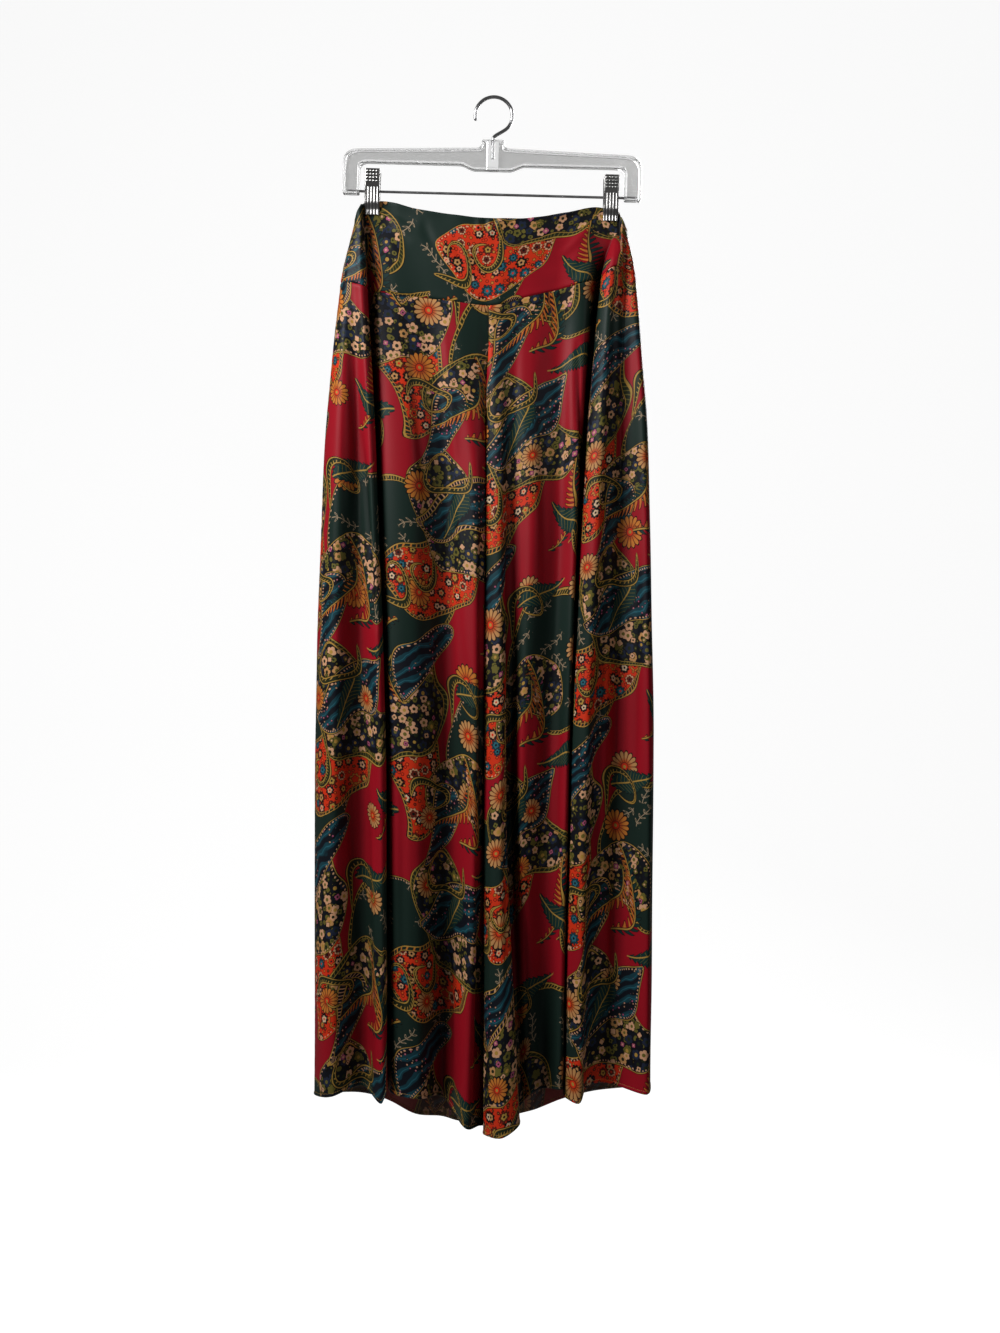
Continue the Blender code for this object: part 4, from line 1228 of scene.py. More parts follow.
@dataclass(frozen=True)
class SatinFinish:
    """Printed satin: its face, or its paler and duller wrong side, with shade painted into its deep creases.
    """

    name: str
    fade: float  # how far the print is faded towards the bare thread
    roughness: float
    sheen: float = 0.0
    thread: float = 0.35  # from one warp thread to the next
    painted_shade_darkness: float = 0.76  # how dark the painted shade in the deepest creases gets
    bare: Colour = linear(168, 132, 120)

    def build(self, drawing: PrintDrawing, weave: NodeTree) -> Material:
        """Make the material.

        Args:
            drawing: the print's node groups.
            weave: the weave's node group.

        Returns:
            The material.
        """
        material, graph, shader = new_material(self.name, Dye.CRIMSON.colour)
        place = graph.flat_place()
        woven = graph.place(weave, {"Place": place, "Thread": self.thread})
        printed = graph.place(drawing.whole, {})["Color"]
        clouds = graph.noise(place, 0.02)
        # Painted shade: the print is mixed towards near black where the cloth lies deep in a crease.
        depth = graph.field("painted_fold_shade", "Fac")
        graph.fill(
            shader,
            Base_Color=graph.layers(printed, (self.fade, self.bare), (clouds * 0.10, Dye.INK),
                                    (depth * self.painted_shade_darkness, PAINTED_SHADE_COLOUR)),
            Roughness=woven["Slub"] * 0.10 + clouds * 0.06 + (self.roughness - 0.08),
            Normal=graph.bump(woven["Height"], 0.10),
            Sheen_Weight=self.sheen, Sheen_Roughness=0.35, Specular_IOR_Level=0.14)
        return material


@dataclass(frozen=True)
class HardFinish:
    """Metal or clear plastic, with dull patches and fine scratches."""

    name: str
    colour: Colour
    roughness: float
    wear: float
    clearness: float = 0.0  # how much light passes through it, 0 for metal

    def build(self, wear: NodeTree) -> Material:
        """Make the material.

        Args:
            wear: the node group of handling wear.

        Returns:
            The material.
        """
        material, graph, shader = new_material(self.name, self.colour)
        worn = graph.place(wear, {"Amount": self.wear})
        if self.clearness:
            haze, relief = 0.10, 0.06
            graph.fill(shader, Base_Color=self.colour, Transmission_Weight=self.clearness, IOR=1.49)
        else:
            haze, relief = 0.25, 0.15
            dull = (*(channel * 0.72 for channel in self.colour[:3]), 1.0)
            graph.fill(shader, Base_Color=graph.mix(worn["Smudge"], self.colour, dull), Metallic=1.0)
        graph.fill(shader, Roughness=worn["Smudge"] * haze + self.roughness,
                   Normal=graph.bump(worn["Scratches"], relief))
        return material


class Finishes:
    """Every material of the part."""

    def __init__(self) -> None:
        """Build the materials."""
        cloth, wear = (PrintDrawing(), build_weave()), build_wear()
        self.satin = SatinFinish("printed satin", 0.0, 0.48).build(*cloth)
        # The wrong side gets a lighter painted crease shade.
        self.wrong_side = SatinFinish("satin wrong side", 0.32, 0.62, painted_shade_darkness=0.3).build(*cloth)
        self.thread = SatinFinish("sewing thread", 0.15, 0.55, 0.1).build(*cloth)
        self.clear = HardFinish("clear plastic", (0.86, 0.86, 0.86, 1.0), 0.05, 0.5, 0.88).build(wear)
        self.web = HardFinish("clear plastic web", (0.56, 0.56, 0.555, 1.0), 0.20, 0.5, 0.80).build(wear)
        self.chrome = HardFinish("plated steel", (0.55, 0.55, 0.56, 1.0), 0.14, 0.5).build(wear)
        self.clip = HardFinish("pressed and plated steel", (0.33, 0.325, 0.32, 1.0), 0.24, 0.4).build(wear)
        self.steel = HardFinish("drawn steel", (0.50, 0.50, 0.51, 1.0), 0.28, 0.8).build(wear)


# ---- cloth pieces ----
@dataclass
class ClothPiece:
    """A cut piece of the garment: a thin shell through its fold lines, with its creases, seams and hem."""

    name: str
    folds: Sequence[Fold]
    side: int  # -1 is the front, 1 the back
    place_in_print: Pair
    behind: Sequence[Fold]  # the piece on the other face
    column_step: float = 3.0
    row_step: float = 4.5
    shell: float = 0.5
    hem_depth: float = 3.6
    hem_thickness: float = 1.7
    # crease_reach: how far to each side the painted crease shade looks for cloth that stands higher
    crease_reach: float = 60.0
    points: Array = field(init=False)
    normals: Array = field(init=False)
    flat: Array = field(init=False)
    fold_numbers: Array = field(init=False)
    thing: Object = field(init=False)

    def heights(self) -> Array:
        """The nominal heights of the rows, which each kind of piece gives."""
        raise NotImplementedError

    def surface_lines(self, heights: Array) -> tuple[Array, Array, Array]:
        """The fold lines and the points past the two side edges, which each kind of piece gives."""
        raise NotImplementedError

    def column_shares(self) -> list[Array]:
        """How each span between two fold lines is divided.

        Returns:
            For each span, rising shares of its width from 0 up to but without 1.
        """
        places = np.array([[fold.across, fold.forward] for fold in self.folds], float)
        widths = np.linalg.norm(np.diff(places, axis=0), axis=1).max(axis=1)
        fine, fine_end, wide = (0.0, 0.7, 1.5, 2.6, 4.2), 4.3, 12
        shares = []
        for index, width in enumerate(widths):
            steps = np.linspace(0, 1, max(int(np.ceil(width / self.column_step)), 3) + 1)
            if width > wide and index in (0, len(widths) - 1):
                steps = graded(width, self.column_step, fine)
                if index:
                    steps = np.concatenate([[0], steps[steps > fine_end]]) / width
                else:
                    steps = np.concatenate([steps[steps < width - fine_end], [width]]) / width
            shares.append(steps[:-1])
        return shares

    def shape(self) -> None:
        """Work out the centre surface, its normals and each point's place on the flat cut."""
        heights = self.heights()
        lines, before, after = self.surface_lines(heights)
        padded = np.concatenate([before[:, None], lines, after[:, None]], axis=1)
        steps = np.diff(padded, axis=1)
        length = np.linalg.norm(steps, axis=2, keepdims=True)
        slope = steps / length
        left, right = length[:, :-1], length[:, 1:]
        lean = (slope[:, :-1] * right + slope[:, 1:] * left) / (right + left)
        columns, ways, numbers = [], [], []
        for span, shares in enumerate(self.column_shares()):
            reach = length[:, span + 1]
            ends = (lines[:, span], lines[:, span + 1], lean[:, span] * reach, lean[:, span + 1] * reach)
            for share in shares:
                place, way = hermite(*ends, share)
                columns.append(place)
                ways.append(way)
                numbers.append(span + share)
        columns.append(lines[:, -1])
        ways.append(lean[:, -1])
        numbers.append(len(self.folds) - 1)
        points, along = np.stack(columns, axis=1), np.stack(ways, axis=1)
        self.fold_numbers = np.array(numbers)
        hold = clip_hold(points)
        points[..., 1] += (self.side * PINCHED_DEPTH - points[..., 1]) * hold
        along[..., 1] *= 1 - hold
        down = np.gradient(points, axis=0)
        normals = np.cross(down, along) * -self.side
        normals /= np.linalg.norm(normals, axis=2, keepdims=True)
        self.flat = self.lay_flat(points)
        self.points = points + normals * (self.relief() * (1 - hold))[..., None]
        self.normals = normals

    def lay_flat(self, points: Array) -> Array:
        """Each point's place on the flat cut, straight down the piece's middle.

        Args:
            points: the centre surface.

        Returns:
            Rows of columns of (across, down).
        """
        widths = np.linalg.norm(np.diff(points, axis=1), axis=2)
        across = np.concatenate([np.zeros((len(points), 1)), np.cumsum(widths, axis=1)], axis=1)
        middle = int(np.argmin(np.abs(self.fold_numbers - (len(self.folds) - 1) / 2)))
        across -= across[:, middle:middle + 1]
        down = run_along(points[:, middle])
        return np.stack([across, np.broadcast_to(down[:, None], across.shape)], axis=-1)

    def relief(self) -> Array:
        """How far each point stands off the plain surface: creases, soft unevenness, seams."""
        across, down = self.flat[..., 0], self.flat[..., 1]
        total = np.zeros(across.shape)
        for row in CREASES[self.name]:
            total += self.crease_relief(Crease(*row))
        broad = 0.45 * np.sin(across / 17.0 + 2.2 * np.sin(down / 140.0))
        small = 0.14 * np.sin(across / 7.3 + 1.7 * np.sin(down / 90.0 + 2.0))
        total += broad * np.sin(down / 63.0 + across / 80.0)
        total += small * np.sin(down / 118.0 + 1.0)
        from_side = np.minimum(across - across[:, :1], across[:, -1:] - across)
        total += self.seam_relief(from_side, down)
        return total

    def seam_relief(self, gap: Array, run: Array) -> Array:
        """The groove of a seam, with the slight pucker beside it.

        Args:
            gap: distance from the seam.
            run: way along the seam.

        Returns:
            How far each point stands off.
        """
        groove = -0.75 * np.exp(-(gap / 1.0)**2) + 0.35 * np.exp(-((gap - 4.0) / 2.6)**2)
        ripple = np.sin(run / 2.6 + 1.8 * np.sin(run / 17.0)) * (0.6 + 0.4 * np.sin(run / 41.0))
        return groove + 0.16 * ripple * np.exp(-(gap / 5.0)**2)

    def crease_relief(self, crease: Crease) -> Array:
        """The relief of one crease.

        Args:
            crease: the crease.

        Returns:
            How far each point stands off.
        """
        rows = len(self.flat)
        ends = []
        for number, share in ((crease.start_fold, crease.start_share), (crease.end_fold, crease.end_share)):
            row = min(int(round(share * (rows - 1))), rows - 1)
            ends.append((np.interp(number, self.fold_numbers, self.flat[row, :, 0]), self.flat[row, 0, 1]))
        start, end = np.array(ends)
        way = end - start
        length = np.linalg.norm(way)
        way /= length
        offset = self.flat - start
        share = offset @ way / length
        off = offset @ np.array((-way[1], way[0])) - crease.bow * np.sin(pi * np.clip(share, 0, 1))
        fade = np.where((share > 0) & (share < 1), np.sin(pi * np.clip(share, 0, 1))**0.8, 0)
        blunt = 1.0 if min(crease.start_share, crease.end_share) > 0 else 1.25
        return crease.lift * blunt * fade * np.exp(-(off / crease.width)**2)

    def half_thickness(self) -> Array:
        """Half the shell's thickness at each row."""
        raise NotImplementedError

    def build(self, finishes: Finishes) -> None:
        """Make the piece.

        Args:
            finishes: the part's materials.
        """
        self.shape()
        half = self.half_thickness()[:, None, None]
        outer, inner = self.points + self.normals * half, self.points - self.normals * half
        rows, columns = self.points.shape[:2]
        self.thing = new_object(self.name + "_cloth", *shell(outer, inner, self.side > 0))
        mesh = self.thing.data
        mesh.materials.append(finishes.satin)
        mesh.materials.append(finishes.wrong_side)
        quads = (rows - 1) * (columns - 1)
        slots = np.zeros(len(mesh.polygons), np.int32)
        slots[quads:2 * quads] = 1
        mesh.polygons.foreach_set("material_index", slots)
        self.add_print(mesh)
        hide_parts(self.name)
        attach(self.thing, "root")
        log.info("%s: %d x %d points, cut %.0f x %.0f mm", self.name, rows, columns, *self.cut_size())

    def add_print(self, mesh: Mesh) -> None:
        """Give the mesh its flat map, the print's fields and its share of painted crease shade.

        Args:
            mesh: the piece's mesh, whose two faces share the print.
        """
        flat = self.flat.reshape(-1, 2) + np.array(self.place_in_print)
        both = np.concatenate([flat, flat])
        corners = np.zeros(len(mesh.loops), np.int32)
        mesh.loops.foreach_get("vertex_index", corners)
        layer = mesh.uv_layers.new(name="flat")
        layer.uv.foreach_set("vector", (both[corners] * MM).astype(np.float32).ravel())
        # Painted shade: each point's share of darkening in deep creases, which the satin's colour takes.
        depth = mesh.attributes.new("painted_fold_shade", "FLOAT", "POINT")
        depth.data.foreach_set("value", np.tile(self.painted_fold_shade().ravel(), 2).astype(np.float32))
        for name, values in Print().fields(flat).items():
            attribute = mesh.attributes.new(name, "FLOAT_VECTOR", "POINT")
            attribute.data.foreach_set("vector", np.tile(values.ravel(), 2).astype(np.float32))

    def painted_fold_shade(self) -> Array:
        """How much painted shade each point gets, by how deep it lies in a crease: from 0 on open cloth to 1
        where hardly any light gets in.
        """
        least_gap, least_rise, gain, open_cloth = 1.0, 0.6, 1.9, 0.42
        across, out = self.points[..., 0], self.points[..., 1] * self.side
        beside, above = across[:, None] - across[:, :, None], out[:, None] - out[:, :, None]
        slope = np.arctan2(np.maximum(above - least_rise, 0), np.maximum(np.abs(beside), least_gap))
        rise = np.where(np.abs(beside) < self.crease_reach, slope, 0)
        left = np.where(beside < 0, rise, 0).max(axis=2)
        right = np.where(beside > 0, rise, 0).max(axis=2)
        return ease((left + right) / pi * gain - open_cloth)

    def cut_size(self) -> Pair:
        """The width and length of the flat cut."""
        return float(np.ptp(self.flat[..., 0])), float(np.ptp(self.flat[..., 1]))

    def declare(self, rests_on: Sequence[str], with_pieces: Sequence[Object]) -> None:
        """Take what the piece hangs from and its sewing, and do nothing with them.

        Args:
            rests_on: what it hangs from; not used.
            with_pieces: its sewing; not used.
        """


@dataclass
class Leg(ClothPiece):
    """A leg panel, from the yoke's seam to the hem."""

    beside: Sequence[Fold] = ()  # the other leg's panel on the same face
    middle_last: bool = True  # its last column, not its first, is at the garment's middle

    def heights(self) -> Array:
        """Rows that are close together at the seam and at the hem."""
        top, bottom = LEVEL_HEIGHTS[Level.SEAM], LEVEL_HEIGHTS[Level.HEM]
        drop = top - bottom
        places = graded(drop, self.row_step, (0.0, 0.7, 1.5, 2.6, 4.2, 6.6))
        hem = drop - np.array([5.2, 4.4, 3.9, 3.3, 2.4, 1.5, 0.7, 0.2, 0.0])
        return top - np.concatenate([places[places < hem[0] - 0.5], hem])

    def surface_lines(self, heights: Array) -> tuple[Array, Array, Array]:
        """The panel's fold lines, with its middle line shared with the piece that it is sewn to.

        Args:
            heights: the nominal heights of the rows.

        Returns:
            The fold lines, and the points before its first column and after its last one.
        """
        lines, back, other = (fold_lines(folds, heights) for folds in (self.folds, self.behind, self.beside))
        middle, twin = (-1, 0) if self.middle_last else (0, -1)
        crotch = LEVEL_HEIGHTS[Level.CROTCH]
        split_fade, turn_above, turn_fade = 34.0, 18.0, 44.0
        below = ease((crotch - heights) / split_fade)[:, None]
        shared = (lines[:, middle] + other[:, twin]) / 2
        inseam = (lines[:, middle] + back[:, middle]) / 2
        lines[:, middle] = shared + (inseam - shared) * below
        turn = ease((crotch + turn_above - heights) / turn_fade)[:, None]
        if self.middle_last:
            return lines, back[:, 1], other[:, 1] * (1 - turn) + back[:, -2] * turn
        return lines, other[:, -2] * (1 - turn) + back[:, 1] * turn, back[:, -2]

    def relief(self) -> Array:
        """Add the groove of the yoke's seam to the piece's own relief."""
        across, down = self.flat[..., 0], self.flat[..., 1]
        return super().relief() + self.seam_relief(down, across)

    def half_thickness(self) -> Array:
        """A thin shell with a narrow rolled hem."""
        down = self.flat[:, 0, 1]
        from_hem = down[-1] - down
        bulge = np.clip(1 - (2 * from_hem / self.hem_depth - 1)**2, 0, 1)**0.5
        rolled = np.where(from_hem < self.hem_depth, self.hem_thickness / 2 * (0.25 + 0.75 * bulge), 0)
        return np.maximum(rolled, self.shell / 2)

    def build_stitching(self, finishes: Finishes) -> Object:
        """Sew the hem: a row of stitches on both faces.

        Args:
            finishes: the part's materials.

        Returns:
            The stitching's object.
        """
        down = self.flat[:, 0, 1]
        row = int(np.argmin(np.abs(down[-1] - down - self.hem_depth - 0.2)))
        line, out = self.points[row], self.normals[row]
        way = run_along(line)
        length, pitch, radius = 2.3, 2.9, 0.22
        parts = []
        for index in range(int(way[-1] / pitch)):
            at = way[0] + pitch * (index + 0.3) + length * np.linspace(0, 1, 5)
            centre, facing = read_line(line, way, at), read_line(out, way, at)
            arch = np.array([0.0, 0.75, 1.0, 0.75, 0.0])[:, None] * radius
            for face in (1, -1):
                path = centre + facing * face * (self.shell / 2 + arch * 0.8)
                parts.append(tube(path, radius * np.array([0.5, 0.95, 1.0, 0.95, 0.5]), 6))
        thing = new_object(self.name + "_hem_stitching", *several(parts))
        thing.data.materials.append(finishes.thread)
        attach(thing, "root")
        return thing


@dataclass
class Yoke(ClothPiece):
    """The front or back of the yoke, from the waist's edge to its seam with the legs."""

    def heights(self) -> Array:
        """Rows that are close together at the waist's edge and at the seam."""
        top, bottom = LEVEL_HEIGHTS[Level.WAIST], LEVEL_HEIGHTS[Level.SEAM]
        return top - graded(top - bottom, 3.2, (0.0, 0.25, 0.7, 1.5, 2.6, 4.2))

    def surface_lines(self, heights: Array) -> tuple[Array, Array, Array]:
        """The yoke's fold lines, and the points past its side seams."""
        back = fold_lines(self.behind, heights)
        return fold_lines(self.folds, heights), back[:, 1], back[:, -2]

    def relief(self) -> Array:
        """Add the groove of the seam to the legs and the pull of the waist's edge."""
        across, down = self.flat[..., 0], self.flat[..., 1]
        pull = 0.5 * np.sin(across / 5.2 + 1.4 * np.sin(across / 31.0)) * np.exp(-down / 9.0)
        return super().relief() + self.seam_relief(down[-1:] - down, across) + pull * 0.6

    def half_thickness(self) -> Array:
        """A thin shell with a rounded, turned edge at the waist."""
        down = self.flat[:, 0, 1]
        edge = 0.75 * np.clip(down / 0.7, 0.25, 1)**0.5 * (1 - ease((down - 3.0) / 4.0))
        return np.maximum(edge, self.shell / 2)


class Garment:
    """The pants: a yoke of two pieces and two legs of two panels each."""

    def build(self, finishes: Finishes) -> None:
        """Make every piece and the hems' stitching.

        Args:
            finishes: the part's materials.
        """
        front, back = (*FRONT_LEFT, *FRONT_RIGHT[1:]), (*BACK_LEFT, *BACK_RIGHT[1:])
        yokes = [
            Yoke("yoke_front", front, -1, (96, 118), back),
            Yoke("yoke_back", back, 1, (310, 340), front),
        ]
        legs = [
            Leg("leg_front_left", FRONT_LEFT, -1, (10, 300), BACK_LEFT, beside=FRONT_RIGHT),
            Leg("leg_front_right", FRONT_RIGHT, -1, (420, 160), BACK_RIGHT, beside=FRONT_LEFT,
                middle_last=False),
            Leg("leg_back_left", BACK_LEFT, 1, (660, 40), FRONT_LEFT, beside=BACK_RIGHT),
            Leg("leg_back_right", BACK_RIGHT, 1, (860, 250), FRONT_RIGHT, beside=BACK_LEFT,
                middle_last=False),
        ]
        for piece in (*yokes, *legs):
            piece.build(finishes)
        for yoke, face in zip(yokes, ("front", "back")):
            yoke.declare([f"clip_left_{face}", f"clip_right_{face}"], [])
        for leg in legs:
            stitching = leg.build_stitching(finishes)
            leg.declare(["yoke_front_cloth" if leg.side < 0 else "yoke_back_cloth"], [stitching])


# ---- hard pieces ----
# An outline is given by its corners, clockwise, as rows of (across, height, radius that rounds it).
# This is the right half of the bar's, from the top of the boss round to its lower side.
BAR_CORNERS = np.array([
    (13, -50, 3), (15, -60, 4), (177, -65, 17), (177, -118, 3), (157, -118, 2), (157, -80, 10), (36, -80, 4),
    (23, -86, 4)], float)
RUNNING_GAP = 0.3  # between the rod or the hook and what it passes through
HOOK_BORE_TOP = -50.0
HOOK_WIRE = 2.0  # radius of the hook's wire
HOOK_STEM = 22.0  # of the wire inside the boss
SHARP_ANGLE = 40.0  # edges sharper than this many degrees stay sharp


def mirrored(corners: Array) -> Array:
    """The corners of an outline turned over from left to right, clockwise again."""
    return corners[::-1] * (-1, 1, 1)


def neighbours(corners: Array) -> Iterable[tuple[Array, Array, Array]]:
    """For each corner the places of the one before it, its own and that of the one after it."""
    places = corners[:, :2]
    return zip(np.roll(places, 1, axis=0), places, np.roll(places, -1, axis=0))


def rounded(corners: Array, steps: int) -> Array:
    """An outline with short curves for corners.

    Args:
        corners: its corners.
        steps: divisions of each curve.

    Returns:
        Rows of (across, height).
    """
    points = []
    for (before, here, after), radius in zip(neighbours(corners), corners[:, 2]):
        ends = []
        for way in (before - here, after - here):
            length = np.linalg.norm(way)
            ends.append(here + way / length * min(radius, length * 0.48))
        for share in np.linspace(0, 1, steps + 1):
            points.append(ends[0] * (1 - share)**2 + 2 * here * share * (1 - share) + ends[1] * share**2)
    return np.array(points)


def shrunk(corners: Array, inset: float) -> Array:
    """The corners of an outline whose sides are moved inwards.

    Args:
        corners: the outline's corners.
        inset: how far each side moves.

    Returns:
        The moved corners.
    """
    moved = []
    for before, here, after in neighbours(corners):
        ways = [way / np.linalg.norm(way) for way in (here - before, after - here)]
        inward = [np.array((way[1], -way[0])) for way in ways]
        moved.append(here + (inward[0] + inward[1]) / (1 + inward[0] @ inward[1]) * inset)
    return np.column_stack([moved, corners[:, 2]])


def slab(corners: Array, profile: Sequence[Pair], along: str, steps: int = 4) -> Shape:
    """A closed body from outlines laid over each other.

    Args:
        corners: the corners of its outline.
        profile: (inset, place) of each outline, from one face to the other.
        along: the axis that the places are on, X or Y.
        steps: divisions of a rounded corner.

    Returns:
        Its vertices and faces.
    """
    rings = []
    for inset, place in profile:
        ring = rounded(shrunk(corners, inset), steps)
        level = np.full(len(ring), place)
        order = (ring[:, 0], level, ring[:, 1]) if along == "Y" else (level, ring[:, 0], ring[:, 1])
        rings.append(np.stack(order, axis=1))
    count = len(rings[0])
    sides = [(after, here, below, beside) for here, after, beside, below in ring_sides(len(rings), count)]
    last = tuple(reversed(range((len(rings) - 1) * count, len(rings) * count)))
    return np.concatenate(rings), [tuple(range(count)), *sides, last]


def chamfered(start: float, end: float, edge: float) -> list[Pair]:
    """The profile of a plain slab between two places, with its edges eased."""
    lean = edge if end > start else -edge
    return [(edge, start), (0, start + lean), (0, end - lean), (edge, end)]


def hard_object(name: str, shape: Shape, crease: float = SHARP_ANGLE) -> Object:
    """Make a hard piece in the hanger's own upright frame.

    Args:
        name: its name.
        shape: its vertices and faces.
        crease: edges sharper than this many degrees stay sharp.

    Returns:
        The object, with its faces pointing out.
    """
    thing = new_object(name, *shape)
    work = bmesh.new()
    work.from_mesh(thing.data)
    bmesh.ops.recalc_face_normals(work, faces=work.faces)
    work.to_mesh(thing.data)
    work.free()
    thing.data.set_sharp_from_angle(angle=radians(crease))
    return thing


def carve(target: Object, tool: Object, operation: str) -> None:
    """Cut a tool out of a piece or join it on, and remove the tool.

    Args:
        target: the piece.
        tool: the body to cut out or join.
        operation: DIFFERENCE or UNION.
    """
    step = target.modifiers.new("carve", "BOOLEAN")
    step.operation = operation
    step.object = tool
    bpy.context.view_layer.update()
    evaluated = target.evaluated_get(bpy.context.evaluated_depsgraph_get())
    mesh = bpy.data.meshes.new_from_object(evaluated)
    target.modifiers.remove(step)
    target.data = mesh
    bpy.data.objects.remove(tool, do_unlink=True)
    mesh.shade_smooth()
    mesh.set_sharp_from_angle(angle=radians(SHARP_ANGLE))


def hang(thing: Object, material: Material, node: str) -> None:
    """Tilt a hard piece with the hanger, dress it and let it stand for its solid.

    Args:
        thing: the piece, upright.
        material: its finish.
        node: the solid that it stands for.
    """
    thing.data.transform(TILT)
    thing.data.materials.clear()
    thing.data.materials.append(material)
    shading = thing.modifiers.new("even shading", "WEIGHTED_NORMAL")
    shading.keep_sharp = True
    shading.weight = 90
    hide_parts(node)
    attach(thing, "root")
    log.info("%s: %d faces", node, len(thing.data.polygons))


@dataclass
class HardPiece:
    """A piece of the hanger."""

    finishes: Finishes


@dataclass
class ClearBar(HardPiece):
    """The hanger's clear moulded bar: a web with a raised rim, a boss for the hook and bores for the rod."""

    depth: float = 10.0
    rim: float = 2.6
    web: float = 3.4
    edge: float = 0.8  # rounding of the rim's edges
    boss_half: float = 7.0
    boss_low: float = -84.0
    boss_depth: float = 11.0
    boss_round: float = 1.5  # radius of the boss's upright corners
    boss_chamfer: float = 0.7
    bore_start: float = 150.0
    bore_end: float = 172.0

    def profile(self) -> list[Pair]:
        """The way over the bar's surface, from the web on one face over the rim to the other."""
        half, web, rim, edge = self.depth / 2, self.web / 2, self.rim, self.edge
        soft = 0.3 * edge
        front = [(rim + edge, web), (rim + soft, web + soft), (rim, web + edge), (rim, half - edge),
                 (rim - soft, half - soft), (rim - edge, half), (edge, half), (soft, half - soft),
                 (0, half - edge)]
        return [(inset, -place) for inset, place in front] + list(reversed(front))

    def build(self) -> None:
        """Mould the bar."""
        outline = np.concatenate([BAR_CORNERS, mirrored(BAR_CORNERS)])
        bar = hard_object("hanger_bar", slab(outline, self.profile(), "Y", 6))
        half, low, reach = self.boss_half, self.boss_low, self.boss_depth / 2
        places = ((-half, HOOK_BORE_TOP), (half, HOOK_BORE_TOP), (half, low), (-half, low))
        block = np.array([(*place, self.boss_round) for place in places])
        boss = slab(block, chamfered(-reach, reach, self.boss_chamfer), "Y")
        carve(bar, hard_object("boss", boss), "UNION")
        drill = [(0, 0, HOOK_BORE_TOP + 5), (0, 0, HOOK_BORE_TOP - HOOK_STEM - 1)]
        carve(bar, hard_object("hook_bore", tube(drill, HOOK_WIRE + RUNNING_GAP, 20)), "DIFFERENCE")
        for side in (-1, 1):
            drill = [(side * across, 0, ROD_HEIGHT) for across in (self.bore_start, self.bore_end)]
            carve(bar, hard_object("rod_bore", tube(drill, ROD_RADIUS + RUNNING_GAP, 20)), "DIFFERENCE")
        hang(bar, self.finishes.clear, "hanger_body")
        bar.data.materials.append(self.finishes.web)
        for face in bar.data.polygons:
            face.material_index = int(abs(face.center.y) < (self.web / 2 + 0.1) * MM)


@dataclass
class Hook(HardPiece):
    """The hanger's hook: a bent wire with a rounded tip, set in the boss."""

    inner: float = 20.0
    tip_angle: float = radians(198)
    leave_angle: float = radians(-38)
    leave_pull: float = 1.1  # how strongly the wire keeps its way where it leaves the arc
    arrive_pull: float = 0.7  # and where it arrives at the boss
    sides: int = 16

    def route(self) -> Array:
        """The wire's centre line, round over the rail, back under it and straight down into the boss."""
        ring = self.inner + HOOK_WIRE
        angle = np.linspace(self.tip_angle, self.leave_angle, 65)
        arc = np.stack([ring * np.cos(angle), ring * np.sin(angle) - self.inner], axis=1)
        lean_out = np.array((sin(self.leave_angle), -cos(self.leave_angle))) * ring * self.leave_pull
        end, lean_in = np.array((0.0, HOOK_BORE_TOP + 2)), np.array((0.0, -ring * self.arrive_pull))
        bend = [hermite(arc[-1], end, lean_out, lean_in, share)[0] for share in np.linspace(0, 1, 21)[1:]]
        flat = np.concatenate([arc, bend, [(0.0, HOOK_BORE_TOP - HOOK_STEM)]])
        return np.stack([flat[:, 0], np.zeros(len(flat)), flat[:, 1]], axis=1)

    def build(self) -> None:
        """Bend the hook."""
        route = self.route()
        way = run_along(route)
        tip = HOOK_WIRE * np.array([0.0, 0.04, 0.16, 0.36, 0.64])
        at = np.concatenate([tip, way[way > HOOK_WIRE]])
        path = read_line(route, way, at)
        round_off = np.sqrt(np.clip(1 - (1 - at / HOOK_WIRE)**2, 0.003, 1))
        radius = np.where(at < HOOK_WIRE, HOOK_WIRE * round_off, HOOK_WIRE)
        wire = hard_object("hook_wire", tube(path, radius, self.sides))
        hang(wire, self.finishes.chrome, "hanger_hook")


@dataclass
class ClipRod(HardPiece):
    """The straight steel rod that carries the clips."""

    reach: float = 171.5
    chamfer: float = 0.4

    def build(self) -> None:
        """Cut the rod."""
        across = np.array([-self.reach, self.chamfer - self.reach, self.reach - self.chamfer, self.reach])
        path = np.stack([across, np.zeros(4), np.full(4, ROD_HEIGHT)], axis=1)
        radius = ROD_RADIUS - np.array([self.chamfer, 0, 0, self.chamfer])
        hang(hard_object("rod", tube(path, radius, 24)), self.finishes.steel, "clip_rod")


